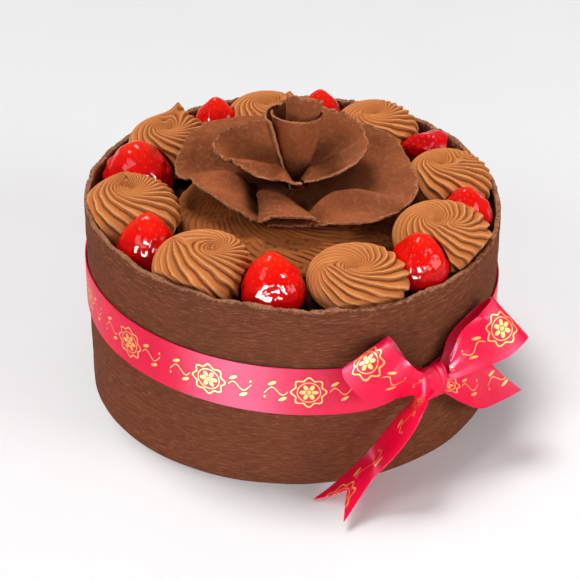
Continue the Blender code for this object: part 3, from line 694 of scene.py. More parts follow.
def floor_material(colours):
    """A pale matt floor with faint spots."""
    look = Look("pale_floor", shade(colours.floor, 0.99), IOR=1.3)
    spots = look.noise(look.place(), 8, 3)
    look.paint(look.span(spots, 0.3, 0.7), colours.floor, 1.01)
    return look.finish(look.span(spots, 0, 1, 0.7, 0.8), spots, 0.0001)


# ---------------------------------------------------------------- the cake and its band


def band_top(a):
    """The height of the band's rim at turn a in radians: its full height less the waves."""
    full = mm("band_height")
    return full - sum(size * np.cos(count * (a - math.radians(low))) for count, size, low in BAND_WAVES)


def make_cake(material):
    """A disc turned from a profile: the cake's side, its rounded edge and a top with faint ripples."""
    radius = mm("band_radius") - mm("band_wall") - GAP
    top = mm("cake_top")
    side = ((0, 0), (radius * 0.5, 0), (radius - 0.6, 0), (radius, 0.6), (radius, 20), (radius, 50), (radius, 74),
            (radius, top - 3), (radius - 0.9, top - 0.9), (radius - 3, top), (radius - 6, top))
    profile = np.array([*side, *((r, top) for r in np.linspace(radius - 8, 0, 44))])
    a = np.linspace(0, 2 * math.pi, 240, endpoint=False)
    points = xyz(profile[:, :1] * np.cos(a), profile[:, :1] * np.sin(a), profile[:, 1:])
    on_top = smooth_step(points[..., 2] - top + 1) * smooth_step(np.hypot(points[..., 0], points[..., 1]) / 9)
    points[..., 2] -= on_top * (0.22 + 0.2 * lumps(points * (1, 1, 0), 17, 5))
    put_round("cake_layers", points, material, "cake_chocolate", "cake_body", sharp=60)


def make_band(material):
    """The band's profile carried round the cake: up the outer side, over a broken rim and down the inner side.
    The outer side bulges and dips by tenths of a millimetre, and the rim falls back by the frayed line."""
    radius, wall = mm("band_radius"), mm("band_wall")
    columns = 760
    a = np.linspace(0, 2 * math.pi, columns, endpoint=False)
    length, around = a * radius, 2 * math.pi * radius
    outer_top = band_top(a) - frayed(length, 11, around) + 0.3
    inner_top = band_top(a) - 1.2 * frayed(length, 21, around) + 0.2
    v = np.linspace(0, 1, 62)[:, None] ** 0.8
    outer = polar(np.degrees(a), radius, v * outer_top)
    swell = lumps(outer * (1, 1, 3), 40, 3) * 0.16 + lumps(outer * (1, 1, 6), 16, 4) * 0.07
    near_rim = smooth_step((v * outer_top - outer_top + 7) / 7)
    chips = near_rim * np.maximum(lumps(outer, 3.2, 6), 0) * 0.45
    chips = chips + near_rim**3 * np.maximum(lumps(outer, 1.5, 7), 0) * 0.4
    outer = polar(np.degrees(a), radius + swell - 0.2 - chips, v * outer_top)
    across = np.linspace(0.12, 0.88, 6)[:, None]
    crumbs = 0.35 * lumps(polar(np.degrees(a), radius - wall * across, 0 * a + 95), 1.6, 8)
    rim = polar(np.degrees(a), radius - 0.2 - (wall - 0.4) * across,
                outer_top + (inner_top - outer_top) * across + 0.3 * np.sin(math.pi * across) + crumbs)
    down = np.linspace(1, 0, 26)[:, None]
    inner = polar(np.degrees(a), radius - wall + 0.15 * lumps(outer[:1] * (1, 1, 3), 9, 9) * down, down * inner_top)
    points = np.concatenate([outer, rim, inner])
    quads = quads_of(len(points), columns, True, True)
    below = np.concatenate([outer_top - outer[..., 2], 0 * rim[..., 2], inner_top - inner[..., 2]])
    scuffed, upper = 1.5, 14
    edge = 0.8 * np.clip(1 - below / scuffed, 0, 1)
    put_mesh("chocolate_wrap", points.reshape(-1, 3), [quads], material, "band_chocolate", "chocolate_band",
             fields={"edge": edge, "top": np.clip(1 - below / upper, 0, 1)}, sharp=60)


# ---------------------------------------------------------------- strawberries


def berry_profile(t):
    """A strawberry's radius as a part of its widest: t is 0 at the cut stem end and 1 at the tip."""
    return np.maximum(np.sin(math.pi * (BERRY_CUT + (1 - BERRY_CUT) * np.clip(t, 0, 1)) ** 0.64), 0) ** 0.6


def berry_frame(berry):
    """A strawberry's stem end, the direction from there to its tip, its length and its widest radius."""
    stem, tip = polar(*berry[0]), polar(*berry[1])
    length = float(np.linalg.norm(tip - stem))
    return stem, (tip - stem) / length, length, berry[2]


def inside_berry(points, berry, gap):
    """Which points are inside a strawberry grown by a gap."""
    stem, axis, length, radius = berry_frame(berry)
    from_stem = points - stem
    along = from_stem @ axis
    across = np.linalg.norm(from_stem - along[..., None] * axis, axis=-1)
    t = (along + gap) / (length + 2 * gap)
    return (t > 0) & (t < 1) & (across < (radius + gap) * berry_profile(t))


def make_berry(number, berry, material):
    """The profile turned about the berry's axis, uneven by three soft ribs and lumps, flat at the stem end and
    where it stands on the cake. Seeds sit in dimples at golden-angle turns: the surface falls by a dimple's depth
    round each and rises a little at its middle."""
    stem, axis, length, radius = berry_frame(berry)
    side = unit(np.cross(axis, (0.31, 0.42, 0.85)))
    other = np.cross(axis, side)
    u, v = grid(98, 180, True)
    t = 0.5 - 0.5 * np.cos(math.pi * (1 - v))
    a = 2 * math.pi * u
    uneven = 1 - 0.035 * (1 + np.cos(3 * a + berry[0][0])) + 0.02 * np.sin(2 * a + number)
    across = radius * berry_profile(t) * uneven
    outward = side * np.cos(a)[..., None] + other * np.sin(a)[..., None]
    points = stem + axis * (length * t)[..., None] + outward * across[..., None]
    k = np.arange(SEEDS)
    seed_t = 0.06 + 0.9 * (k + 0.5) / SEEDS
    seed_a = k * GOLDEN_ANGLE + number
    seed_out = radius * berry_profile(seed_t)
    seeds = stem + np.outer(length * seed_t, axis) + seed_out[:, None] * (
        np.outer(np.cos(seed_a), side) + np.outer(np.sin(seed_a), other))
    gaps = np.full_like(u, 99.0)
    for seed in seeds:
        off = points - seed
        up = off @ axis
        gaps = np.minimum(gaps, np.sqrt(np.maximum((off**2).sum(-1) - up**2, 0) * 1.9 + up**2))
    dimple, rise = (size * np.exp(-((gaps / width) ** 2)) for size, width in (DIMPLE, SEED_RISE))
    ends = np.sin(math.pi * t) ** 0.5
    lift = 0.42 * lumps(points, 9, 40 + number) + 0.09 * lumps(points, 4, 60 + number)
    lift = (lift + 0.02 * lumps(points, 2, 80 + number) - dimple + rise - 0.15) * ends
    points = points + lift[..., None] * unit(outward + axis * (t - 0.45)[..., None] * 1.6)
    points[-1] = stem
    points[..., 2] = np.maximum(points[..., 2], BERRY_BASE + GAP)
    height = (points[..., 2] - BERRY_BASE) / BERRY_HEIGHT
    fields = {"up": np.clip(height, 0, 1), "seed": np.exp(-((gaps / 0.5) ** 4)), "dark": np.full_like(gaps, berry[3])}
    put_round(f"glazed_strawberry_{number}", points, material, "strawberry", f"strawberry_{number}",
              fields=fields, sharp=60)


# ---------------------------------------------------------------- piped cream


def clear_of_neighbours(centre, offsets):
    """Offsets from a rosette's centre, drawn in by 20 halvings where they reach the band or a strawberry."""
    wall_radius = mm("band_radius") - mm("band_wall") - GAP
    reach = 45
    near = [berry for berry in BERRIES if np.hypot(*(polar(*berry[0]) - centre)[:2]) < reach]

    def blocked(part):
        points = centre + offsets * np.stack([part, part, np.ones_like(part)], -1)
        above = points[..., 2] - band_top(np.arctan2(points[..., 1], points[..., 0])) - 1
        wall = wall_radius + np.where(above > -6, 0.5 * above, 0)
        found = np.hypot(points[..., 0], points[..., 1]) > wall
        for berry in near:
            found |= inside_berry(points, berry, BERRY_GAP)
        return found

    low, high = np.zeros(offsets.shape[:-1]), np.ones(offsets.shape[:-1])
    free = ~blocked(high)
    for _ in range(20):
        middle = (low + high) / 2
        stuck = blocked(middle)
        low, high = np.where(stuck, low, middle), np.where(stuck, middle, high)
    part = np.where(free, 1, low)
    return offsets * np.stack([part, part, np.ones_like(part)], -1)


def ridge_height(phase, steep=0.24):
    """The cross-section of the nozzle's ridges, which lean like shingles: with the phase the height rises steeply
    from 0 to 1 over a part of the turn, and then falls back as a long rounded face."""
    part = phase / (2 * math.pi) % 1
    return np.where(part < steep, smooth_step(part / steep), 1 - np.abs((part - steep) / (1 - steep)) ** 1.7)


def make_rosette(number, data, material):
    """A ring of piped rope. Its ridges follow the flow from two points, the swirl's centre and the peak: the
    phase is a count of ridges times the angle about each point, less a swirl times the distance's logarithm.
    Ridges are as deep as a part of the distance between them, up to a limit, so they're shallow where they crowd."""
    turn, distance, radius, tall, swirl, peak, hollow, peak_height, tight_side = data
    rope = ROPE_PART * radius
    ring = radius - rope
    start, end = math.acos(ring / rope), math.radians(ROPE_END)
    base = mm("cake_top") + GAP
    centre = polar(turn, distance, 0)
    rows, columns = 130, 350
    u, v = grid(rows, columns, True)
    a = 2 * math.pi * u
    b = start + (end - start) * np.clip(v * rows / (rows - 1), 0, 1)
    out = np.maximum(ring - rope * np.cos(b), 0)
    height = base + rope * tall * (np.sin(b) - math.sin(end))
    inward = np.maximum(1 - out / radius, 0) ** 1.5
    height = height + 1.6 * np.exp(-((out / 5.5) ** 2)) * (b < math.pi)
    unrolled = rope * (b - start) + 0 * a
    x = out * np.cos(a) + swirl[0] * inward
    y = out * np.sin(a) + swirl[1] * inward
    flat = unrolled * np.exp(1j * a) + complex(*swirl) * inward
    to_middle, to_peak = flat - complex(*swirl), flat - complex(*peak) * 1.15
    near, near_peak = np.abs(to_middle), np.abs(to_peak)
    side = 1 + TIGHTER * np.cos(np.angle(to_middle) - math.radians(tight_side))
    wound = (CENTRE_WINDING * np.log((near + 0.8) / 34) - 1.6 * np.exp(-near / 5.0)) * side
    turned = CENTRE_RIDGES * (np.angle(to_middle) - wound)
    turned = turned + PEAK_RIDGES * (np.angle(to_peak) - PEAK_WINDING * np.log(near_peak + 0.8))
    wave = np.exp(1j * turned)
    down, flat_down = (np.abs(np.gradient(z, axis=0)) for z in (wave, flat))
    over, flat_over = (np.abs(np.roll(z, -1, 1) - np.roll(z, 1, 1)) for z in (wave, flat))
    down, over = down / np.maximum(flat_down, 1e-3), over / np.maximum(flat_over, 1e-3)
    spacing = 2 * math.pi / np.maximum(np.hypot(down, over), 0.1)
    wobble = 0.35 * lumps(xyz(x, y, height), 11, 80 + number)
    crest = ridge_height(turned + wobble * 2)
    depth = np.minimum(RIDGE_PART * spacing, RIDGE_LIMIT) * smooth_step(unrolled / 3)
    drop = depth * (1 - crest)
    out_part = -np.cos(b) * np.minimum(out / 4, 1)
    x = x - drop * out_part * np.cos(a)
    y = y - drop * out_part * np.sin(a)
    height = height - drop * np.maximum(np.sin(b), 0)
    upper = smooth_step((math.pi - b) / 0.6)
    to_tip = np.hypot(x - peak[0], y - peak[1])
    height = height + upper * peak_height * 1.25 * np.exp(-((to_tip / 4.0) ** 1.25))
    to_hollow = np.hypot(x - hollow[0], y - hollow[1])
    height = height - upper * 2.2 * np.exp(-((to_hollow / 1.9) ** 2))
    points = centre + clear_of_neighbours(centre, xyz(x, y, height))
    points[-1] = centre + (0, 0, base)
    points[0] = points[0].mean(0)
    # crest also tells the cream's material where its painted shade and painted highlight go
    put_round(f"piped_rosette_{number}", points, material, "cream", f"rosette_{number}",
              fields={"crest": np.where(depth > 0.15, crest, 0.75)})


def make_mound(material):
    """The rough swirl of cream under the rose: a flattened dome less the depth of scrapes that wind round it.
    The scrapes are ridges of a phase bent by lumps, each patch as deep as another set of lumps says."""
    base = mm("cake_top") + GAP
    radius, rise, scrapes, deep, winding = MOUND
    rows, columns = 110, 840
    u, v = grid(rows, columns, True)
    a = 2 * math.pi * u
    part = np.minimum(v * rows / (rows - 1.0), 1)
    out = radius * np.sin(part * math.pi / 2)
    height = base + rise * np.maximum(1 - (out / radius) ** 2.4, 0) ** 0.6
    swirled = a + winding * np.log((out + 6) / radius)
    flat = xyz(out * np.cos(swirled), out * np.sin(swirled), 0)
    bent = 2.8 * lumps(flat, 40, 71) + 0.6 * lumps(flat, 12, 72)
    patch = smooth_step(0.4 + 0.8 * lumps(flat, 17, 73))
    crest = ridge_height(scrapes * a + bent, 0.3) * patch + (1 - patch) * (0.45 + 0.3 * lumps(flat, 3.5, 74))
    drop = (deep * (1 - crest) + 0.5 * lumps(flat, 7, 75)) * np.minimum(1, out / 14)
    tilt = (out / radius) ** 2
    out = out - np.maximum(drop, 0) * tilt
    height = height - drop * (1 - tilt) - 0.5
    points = xyz(out * np.cos(swirled), out * np.sin(swirled), np.maximum(height, base))
    points[-1] = (0, 0, base)
    # crest also tells the material where its painted shade and paler crests go
    put_round("scraped_mound", points, material, "cream", "cream_mound", fields={"crest": np.clip(crest, 0, 1)})


# ---------------------------------------------------------------- the rose


def to_line(line, point):
    """The distance from each point, a complex number, to a line of (turn, distance) corners."""
    corners = [d * np.exp(1j * math.radians(t)) for t, d in line]
    nearest = np.full(point.shape, 1e9)
    for a, b in zip(corners, corners[1:]):
        part = ((point - a) * np.conj(b - a)).real / abs(b - a) ** 2
        nearest = np.minimum(nearest, np.abs(point - a - (b - a) * np.clip(part, 0, 1)))
    return nearest


def fold_height(folds, point, v):
    """How far the folds lift a petal: for each, its height times a bell curve of the distance to its line, and
    all fade at the foot, where v is 0, and at the rim, where it is 1."""
    lift = 0
    for line, height, width in folds:
        lift = lift + height * np.exp(-((to_line(line, point) / width) ** 1.7))
    return lift * np.sin(math.pi * np.clip(v, 0, 1) ** 1.2) ** 0.6


def foot_painted_shade(v, reach=1.5):
    """How much painted shade darkens a sheet towards its foot, where v is 0."""
    return FOOT_PAINTED_SHADE * smooth_step(reach - 1.7 * v)


def put_sheet(name, node, points, length, breadth, dark, material, thickness=1.0, ends=False):
    """A chocolate sheet of points: thinner at its broken rim, where v is 1, with edges marked for the material.
    length and breadth are its size along the columns and the rows, dark says how far painted shade darkens it at each
    point, and thickness is its part of a petal's."""
    u, v = grid(*points.shape[:2])
    to_rim = (1 - v) * breadth
    to_end = np.minimum(u, 1 - u) * length
    thin = 0.75 + 0.25 * smooth_step(to_rim / 4) + 0.12 * lumps(points, 1.6, 77) * smooth_step(1 - to_rim / 3)
    mesh_points, faces = thick_sheet(points, mm("petal_thickness") * thickness * thin)
    edge = 0.85 * np.clip(1 - to_rim / (1.5 + 0.6 * lumps(points, 6, 78)), 0, 1)
    if ends:
        edge = np.maximum(edge, np.clip(1 - to_end / END_EDGE, 0, 1))
    uv = np.stack([u * length * MM, v * breadth * MM], -1)
    # the field deep carries the painted shade to the material
    fields = {"edge": twice(edge), "deep": twice(dark)}
    put_mesh(name, mesh_points, faces, material, "rose_chocolate", node, uv=twice(uv), fields=fields, sharp=55)


def make_petal(name, rim, foot, folds, painted_shadows, seed, material):
    """A bowl-shaped sheet: each column runs straight out from the foot to the rim, which falls back by the frayed
    line, and its height rises by v to the power 1.6, plus folds and soft waves. Painted shade darkens it towards
    its foot and along its painted shadow lines."""
    u, v = grid(74, 260)
    turn, distance, height = np.moveaxis(smooth_path(rim, u), -1, 0)
    length = float(np.abs(np.diff(np.radians(turn[0]))).sum() * distance.mean())
    v = v * (1 - frayed(u * length, seed) / (distance - foot[0]))
    out = foot[0] + (distance - foot[0]) * v
    point = out * np.exp(1j * np.radians(turn))
    rise = foot[1] + (height - foot[1]) * v**BOWL_CURVE + fold_height(folds, point, v)
    places = xyz(point.real, point.imag, rise)
    rise = rise + 0.45 * lumps(places, 17, seed + 5) * v + 0.25 * lumps(places, 5, seed + 6) * v**6
    points = xyz(ROSE_AXIS[0] + point.real, ROSE_AXIS[1] + point.imag, rise)
    # painted shade: darker towards the foot and along each painted shadow line
    dark = foot_painted_shade(v)
    for line, strength, width in painted_shadows:
        dark = np.maximum(dark, strength * np.exp(-((to_line(line, point) / width) ** 2.5)))
    breadth = float(distance.mean() - foot[0])
    put_sheet(f"petal_{name}", f"rose_petal_{name}", points, length, breadth, dark, material)


def make_flap(material):
    """An arched sheet like half a funnel, widening from its back point to a mouth with a broken lip in front."""
    u, v = grid(60, 130)
    back, front = np.array(FLAP_BACK, float), np.array(FLAP_FRONT, float)
    a = math.pi * (1 - u)
    v = v * (1 - frayed(u * FLAP_SIZE[0], 91) * 0.7 / FLAP_SIZE[1])
    half = FLAP_HALF_WIDTHS[0] + (FLAP_HALF_WIDTHS[1] - FLAP_HALF_WIDTHS[0]) * v**1.3
    arch = FLAP_ARCHES[0] + (FLAP_ARCHES[1] - FLAP_ARCHES[0]) * v
    lip = 1 + 0.12 * np.sin(a) * v**4
    points = back + (front - back) * (v * lip)[..., None] + xyz(-half * np.cos(a), 0, arch * np.sin(a))
    points[..., 2] += 0.3 * lumps(points, 9, 92)
    # painted shade darkens the arched petal towards its back point, where v is 0
    put_sheet("petal_low_front", "rose_petal_low_front", points, *FLAP_SIZE, foot_painted_shade(v), material, ends=True)


def make_roll(name, node, data, seed, material):
    """A sheet rolled into a funnel: its distance grows with every turn, and its mouth is broken and tilted."""
    foot, mouth, turns, shift, tilt, flare = data
    u, v = grid(64, 240)
    turn = turns[0] + (turns[1] - turns[0]) * u
    length = math.radians(turns[1] - turns[0]) * mouth[0]
    v = v * (1 - frayed(u * length, seed) * 1.1 / (mouth[1] - foot[1]))
    grown = TURN_GROWTH * (turn - turns[0]) / 360
    out = foot[0] + (mouth[0] - foot[0]) * v**0.85 + grown * (0.45 + 0.55 * v)
    out = out + flare * v * smooth_step((u - 0.86) / 0.14)
    a = np.radians(turn)
    rise = foot[1] + (mouth[1] - foot[1]) * v - tilt * v**3 * np.sin(a + 0.3)
    x = ROSE_AXIS[0] + shift[0] * v + out * np.cos(a)
    y = ROSE_AXIS[1] + shift[1] * v + out * np.sin(a)
    points = xyz(x, y, rise)
    points += 0.22 * lumps(points, 8, seed + 3)[..., None] * xyz(np.cos(a), np.sin(a), 0)
    # painted shade darkens the roll towards its foot
    put_sheet(name, node, points, length, mouth[1] - foot[1], foot_painted_shade(v, 1.0), material, 0.8, True)


# ---------------------------------------------------------------- the ribbon and its bow


def put_ribbon(name, node, points, uv, outward, material):
    """A strip of ribbon with its two faces: outward is 1 where the printed face is the grid's first, else 0."""
    mesh_points, faces = thick_sheet(points, mm("ribbon_thickness"))
    first = np.full(points[..., 0].size, float(outward))
    return put_mesh(name, mesh_points, faces, material, "ribbon_satin", node, uv=twice(uv),
                    fields={"face": np.concatenate([first, 1 - first])}, sharp=60)


def make_ribbon_band(material):
    """The ribbon round the cake: a strip round a cylinder whose foot slopes, gathered to the knot at both ends."""
    radius = mm("band_radius") + RIBBON_GAP + mm("ribbon_thickness") / 2
    width = mm("ribbon_width")
    u, v = grid(18, 760)
    knot_turn = 1.6
    turn = BOW_TURN + knot_turn + (360 - 2 * knot_turn) * u
    from_knot = np.minimum(u, 1 - u) * 2 * math.pi * radius
    gather = np.exp(-((from_knot / GATHER[0]) ** 2))
    a = np.radians(turn)
    foot = RIBBON_FOOT + RIBBON_SLOPE[0] * radius * np.cos(a) + RIBBON_SLOPE[1] * radius * np.sin(a)
    across = (v - 0.5) * width * (1 - GATHER[1] * gather)
    out = radius + 0.06 * lumps(polar(turn, radius, foot + across), 30, 31)
    out = out + gather * (0.7 + 0.4 * np.sin(v * 19 + 1))
    points = polar(turn, out, foot + width / 2 + across)
    uv = np.stack([(turn - BOW_TURN) / 360 * 2 * math.pi * radius * MM, (v - 0.5) * width * MM], -1)
    return put_ribbon("ribbon_round_cake", "ribbon_band", points, uv, 1, material)


def bow_axes():
    """The knot's middle, and the directions along the band, away from it and up."""
    a = math.radians(BOW_TURN)
    along = np.array((-math.sin(a), math.cos(a), 0))
    away = np.array((math.cos(a), math.sin(a), 0))
    return polar(BOW_TURN, BOW_DISTANCE, BOW_HEIGHT), along, away, np.array((0, 0, 1.0))


def knot_stations(stations):
    """Stations given from the knot, turned into the cake's own frame."""
    knot, along, away, up = bow_axes()
    turned = np.stack([along, away, up])
    inside = [((m[0] * 0.35, m[1] * 0.5, m[2] * 0.7), w, part * 0.9) for m, w, part in stations if abs(m[0]) < 8]
    stations = [inside[0], *stations, *inside[1:]]
    return [(knot + np.array(m) @ turned, np.array(w) @ turned, [part]) for m, w, part in stations]


def tail_stations(stations):
    """Stations given by the edge next to the cake, moved to the strip's middle."""
    moved = []
    for edge, across, part in stations:
        across = unit(np.array(across))
        moved.append((polar(*edge) + across * mm("ribbon_width") * part * 0.5, across, [part]))
    return moved


def make_strip(name, stations, outward, gathers, start, material, slant=0, notch=0):
    """A ribbon strip along a smooth path of its middle, its direction across and its width. Its far end is cut at
    a slant or to a notch, each a part of its length. It is pleated where it is gathered: waves across it fade
    with the distance from each gathered end, which is a part of the way, depth, fade and phase. Its print begins
    at start. Returns the piece and its length in metres."""
    width = mm("ribbon_width")
    u, v = grid(28, 230)
    reach = u * (1 - slant * v - notch * (1 - abs(2 * v - 1)))
    middle, across, part = (smooth_path([s[k] for s in stations], reach) for k in range(3))
    points = middle + unit(across) * width * part * (v - 0.5)[..., None]
    centre_line = points[len(points) // 2]
    far = np.linalg.norm(np.diff(centre_line, axis=0), axis=-1).sum()
    distance = reach / reach.max() * far
    pleats = np.zeros_like(u)
    for at, depth, fade, phase in gathers:
        pleats += depth * np.exp(-np.abs(distance - at * far) / fade) * np.sin(v * 15 + phase + 0.04 * distance)
    normal = unit(np.cross(np.gradient(points, axis=1), np.gradient(points, axis=0)))
    points = points + (pleats + 0.12 * lumps(points, 12, 33))[..., None] * normal
    uv = np.stack([(start + distance) * MM, (v - 0.5) * width * MM], -1)
    return put_ribbon(name, f"bow_{name}", points, uv, outward, material), far * MM


def make_knot(material):
    """The knot: a pillow round the strips, waisted at its middle, with creases that run over it from top to
    bottom where the ribbon is folded."""
    fuller = 1.14
    along_size, away_size, up_size = (fuller * size for size in KNOT_SIZE)
    knot, along, away, up = bow_axes()
    set_back = 1.5
    knot = knot - set_back * along
    u, v = grid(90, 120, True)
    a = 2 * math.pi * u
    x = np.cos(math.pi * v)
    full = np.maximum(1 - np.abs(x) ** 9, 0) ** 0.42
    waist = 0.90 + 0.10 * x * x
    bend = x + 0.16 * np.cos(a + 0.5)
    creases = 0.07 * np.exp(-(((bend - 0.42) / 0.1) ** 2)) + 0.05 * np.exp(-(((bend - 0.78) / 0.07) ** 2))
    creases += 0.03 * np.exp(-(((bend + 0.5) / 0.16) ** 2))
    size = waist * full * (1 - creases)
    y = 0.5 * away_size * size * np.sin(a)
    z = 0.5 * up_size * size * np.cos(a)
    points = knot + (0.5 * along_size * x)[..., None] * along + y[..., None] * away + z[..., None] * up
    uv = np.stack([a * 7 * MM, x * 9 * MM + 0.03], -1)
    return put_round("tied_knot", points, material, "ribbon_satin", "bow_knot", uv=with_poles(uv),
                     fields={"face": np.zeros_like(x)})


# ---------------------------------------------------------------- the stage


def add_light(name, kind, energy, colour, place, size):
    """A light whose -Z points at the place all lights are aimed at."""
    light = bpy.data.lights.new(name, kind)
    light.energy = energy
    light.color = colour
    if kind == "SUN":
        light.angle = math.radians(size)
    else:
        light.shape = "RECTANGLE"
        light.size, light.size_y = size
    obj = bpy.data.objects.new(name, light)
    bpy.context.scene.collection.objects.link(obj)
    z = unit(np.array(place) - LIGHT_AIM)
    x = unit(np.cross((0, 0, 1.0), z))
    obj.matrix_world = Matrix(np.vstack([np.column_stack([x, np.cross(z, x), z, place]), (0, 0, 0, 1)]).tolist())
    return obj


def make_camera():
    """The photograph's camera: it looks down at the cake, rolled a little, its centre shifted in the picture."""
    down, roll = math.radians(CAMERA_DOWN), math.radians(CAMERA_ROLL)
    forward = np.array((0, math.cos(down), -math.sin(down)))
    right = np.array((1.0, 0, 0))
    up = np.cross(right, forward)
    place = np.array((0, -CAMERA_DISTANCE * math.cos(down), CAMERA_TARGET + CAMERA_DISTANCE * math.sin(down)))
    across = math.cos(roll) * right + math.sin(roll) * up
    upward = -math.sin(roll) * right + math.cos(roll) * up
    data = bpy.data.cameras.new("camera")
    data.sensor_width = SENSOR
    data.lens = FOCAL_PIXELS * SENSOR / PICTURE_PIXELS
    data.shift_x = -(CENTRE_PIXELS[0] - PICTURE_PIXELS / 2) / PICTURE_PIXELS
    data.shift_y = (CENTRE_PIXELS[1] - PICTURE_PIXELS / 2) / PICTURE_PIXELS
    data.clip_start, data.clip_end = 0.05, 50
    camera = bpy.data.objects.new("camera", data)
    bpy.context.scene.collection.objects.link(camera)
    columns = np.column_stack([across, upward, -forward, place])
    camera.matrix_world = Matrix(np.vstack([columns, (0, 0, 0, 1)]).tolist())
    bpy.context.scene.camera = camera


# ---------------------------------------------------------------- settings


def length_property(name, description, default):
    return bpy.props.FloatProperty(name=name, description=description, default=default, min=0.0, unit="LENGTH")


def colour_property(name, description, srgb):
    return bpy.props.FloatVectorProperty(
        name=name, description=description, default=linear(srgb)[:3], size=3, min=0.0, max=1.0, subtype="COLOR"
    )


class GateauSizes(bpy.types.PropertyGroup):
    """The gateau's sizes."""

    band_radius: length_property("Band radius", "Outer radius of the chocolate band", 0.1)
    band_height: length_property("Band height", "Mean height of the band's rim", 0.0978)
    band_wall: length_property("Band thickness", "Thickness of the chocolate band", 0.0026)
    cake_top: length_property("Cake height", "Height of the cake's glazed top", 0.086)
    petal_thickness: length_property("Petal thickness", "Thickness of the rose's chocolate sheets", 0.0015)
    ribbon_width: length_property("Ribbon width", "Width of the satin ribbon", 0.025)
    ribbon_thickness: length_property("Ribbon thickness", "Thickness of the satin ribbon", 0.0005)


class GateauColours(bpy.types.PropertyGroup):
    """The gateau's colours."""

    cake: colour_property("Glaze", "Poured chocolate on the cake's top", (40, 18, 13))
    band: colour_property("Band", "Chocolate band", (105, 58, 38))
    band_edge: colour_property("Band rim", "Scuffed rim of the band", (158, 110, 82))
    cream: colour_property("Cream", "Piped chocolate cream", (182, 108, 58))
    # painted highlight along the crests of the piped ridges
    cream_crest_highlight: colour_property("Cream crests", "Crests of the piped ridges", (206, 144, 92))
    mound: colour_property("Mound", "Rough cream under the rose", (162, 93, 49))
    rose: colour_property("Rose", "Chocolate rose", (131, 71, 43))
    rose_edge: colour_property("Rose edges", "Frayed edges of the petals", (186, 126, 88))
    # pale bloom and painted sheen on the petals
    rose_bloom_and_sheen: colour_property("Rose bloom", "Pale bloom on the petals", (152, 94, 66))
    berry: colour_property("Strawberry", "Ripe red of the strawberries", (214, 12, 3))
    berry_dark: colour_property("Strawberry shade", "Dark red low on the strawberries", (160, 0, 12))
    berry_light: colour_property("Strawberry light", "Orange red on top of the strawberries", (246, 62, 14))
    seed: colour_property("Seeds", "Seeds of the strawberries", (214, 120, 60))
    ribbon: colour_property("Ribbon", "Satin ribbon", (224, 3, 58))
    gold: colour_property("Gold", "Design printed on the ribbon", (222, 172, 92))
    floor: colour_property("Floor", "Pale floor", (204, 204, 206))


class GateauSettings(bpy.types.PropertyGroup):
    """All of the gateau's settings."""

    sizes: bpy.props.PointerProperty(type=GateauSizes)
    colours: bpy.props.PointerProperty(type=GateauColours)


# ---------------------------------------------------------------- operators


class GATEAU_OT_cake(bpy.types.Operator):
    """Make the cake and the chocolate band round it"""

    bl_idname = "gateau.cake"
    bl_label = "Cake and band"

    def execute(self, context):
        colours = context.scene.gateau.colours
        make_cake(glaze_material(colours))
        make_band(band_material(colours))
        return {"FINISHED"}


class GATEAU_OT_cream(bpy.types.Operator):
    """Pipe the mound and the eight rosettes"""

    bl_idname = "gateau.cream"
    bl_label = "Piped cream"

    def execute(self, context):
        colours = context.scene.gateau.colours
        make_mound(mound_material(colours))
        cream = cream_material(colours)
        for number, data in enumerate(ROSETTES, 1):
            make_rosette(number, data, cream)
        return {"FINISHED"}


class GATEAU_OT_strawberries(bpy.types.Operator):
    """Set the eight glazed strawberries between the rosettes"""

    bl_idname = "gateau.strawberries"
    bl_label = "Strawberries"

    def execute(self, context):
        glazed = berry_material(context.scene.gateau.colours)
        for number, berry in enumerate(BERRIES, 1):
            make_berry(number, berry, glazed)
        return {"FINISHED"}


class GATEAU_OT_rose(bpy.types.Operator):
    """Fold the chocolate rose from its sheets"""

    bl_idname = "gateau.rose"
    bl_label = "Chocolate rose"

    def execute(self, context):
        scraped = rose_material(context.scene.gateau.colours)
        for petal in PETALS:
            make_petal(*petal, scraped)
        make_flap(scraped)
        make_roll("rolled_cone", "rose_cone", CONE, 141, scraped)
        make_roll("rolled_core", "rose_core", CORE, 151, scraped)
        return {"FINISHED"}


class GATEAU_OT_ribbon(bpy.types.Operator):
    """Lay the satin ribbon round the cake and tie its bow"""

    bl_idname = "gateau.ribbon"
    bl_label = "Ribbon and bow"

    def execute(self, context):
        satin = ribbon_material(context.scene.gateau.colours)
        band = make_ribbon_band(satin)
        knot = make_knot(satin)
        for name, stations, outward, start in (("loop_left", LEFT_LOOP, 1, 18), ("loop_right", RIGHT_LOOP, 0, 5)):
            loop, length = make_strip(name, knot_stations(stations), outward, LOOP_GATHERS, start, satin)
        stations = knot_stations(SHORT_TAIL)
        short, length = make_strip("tail_short", stations, 1, SHORT_GATHERS, 10, satin, slant=SHORT_TAIL_SLANT)
        stations = tail_stations(LONG_TAIL)
        long, length = make_strip("tail_long", stations, 1, LONG_GATHERS, 12, satin, notch=LONG_TAIL_NOTCH)
        return {"FINISHED"}


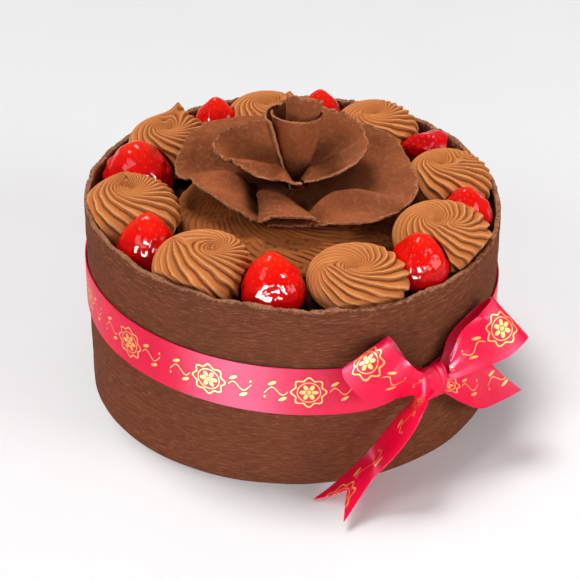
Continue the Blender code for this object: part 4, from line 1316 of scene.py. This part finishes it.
class GATEAU_OT_stage(bpy.types.Operator):
    """Set the floor, the lights, the pale surroundings and the camera"""

    bl_idname = "gateau.stage"
    bl_label = "Stage"

    def execute(self, context):
        scene = context.scene
        scene.view_settings.view_transform = "Standard"
        u, v = grid(2, 2)
        corners = xyz((u - 0.5) * FLOOR_SIZE, (v - 0.5) * FLOOR_SIZE, 0).reshape(-1, 3)
        floor = put_mesh("floor", corners, [np.array([[0, 1, 3, 2]])], floor_material(scene.gateau.colours))
        world = bpy.data.worlds.new("studio")
        world.use_nodes = True
        background = world.node_tree.nodes["Background"].inputs
        background["Color"].default_value = SURROUNDINGS
        background["Strength"].default_value = SURROUNDINGS_STRENGTH
        scene.world = world
        for light in LIGHTS:
            add_light(*light)
        for side, energy, place, size in REFLECTORS:
            gloss = add_light(f"{side}_reflector", "AREA", energy, (1, 1, 1), place, size)
            gloss.visible_diffuse = False
            gloss.visible_camera = False
        make_camera()
        return {"FINISHED"}


class GATEAU_PT_panel(bpy.types.Panel):
    """The gateau's operators and settings"""

    bl_idname = "GATEAU_PT_panel"
    bl_label = "Gateau"
    bl_space_type = "VIEW_3D"
    bl_region_type = "UI"
    bl_category = "Gateau"

    def draw(self, context):
        settings = context.scene.gateau
        for operator in OPERATORS:
            self.layout.operator(operator.bl_idname)
        for group in (settings.sizes, settings.colours):
            box = self.layout.box()
            for name in group.bl_rna.properties.keys():
                if name not in ("rna_type", "name"):
                    box.prop(group, name)


OPERATORS = (
    GATEAU_OT_cake, GATEAU_OT_cream, GATEAU_OT_strawberries, GATEAU_OT_rose, GATEAU_OT_ribbon, GATEAU_OT_stage,
)
CLASSES = (GateauSizes, GateauColours, GateauSettings, *OPERATORS, GATEAU_PT_panel)


def register():
    for cls in CLASSES:
        bpy.utils.register_class(cls)
    bpy.types.Scene.gateau = bpy.props.PointerProperty(type=GateauSettings)


def unregister():
    del bpy.types.Scene.gateau
    for cls in reversed(CLASSES):
        bpy.utils.unregister_class(cls)


def main():
    register()
    for operator in OPERATORS:
        category, name = operator.bl_idname.split(".")
        getattr(getattr(bpy.ops, category), name)()


if __name__ == "__main__":
    main()
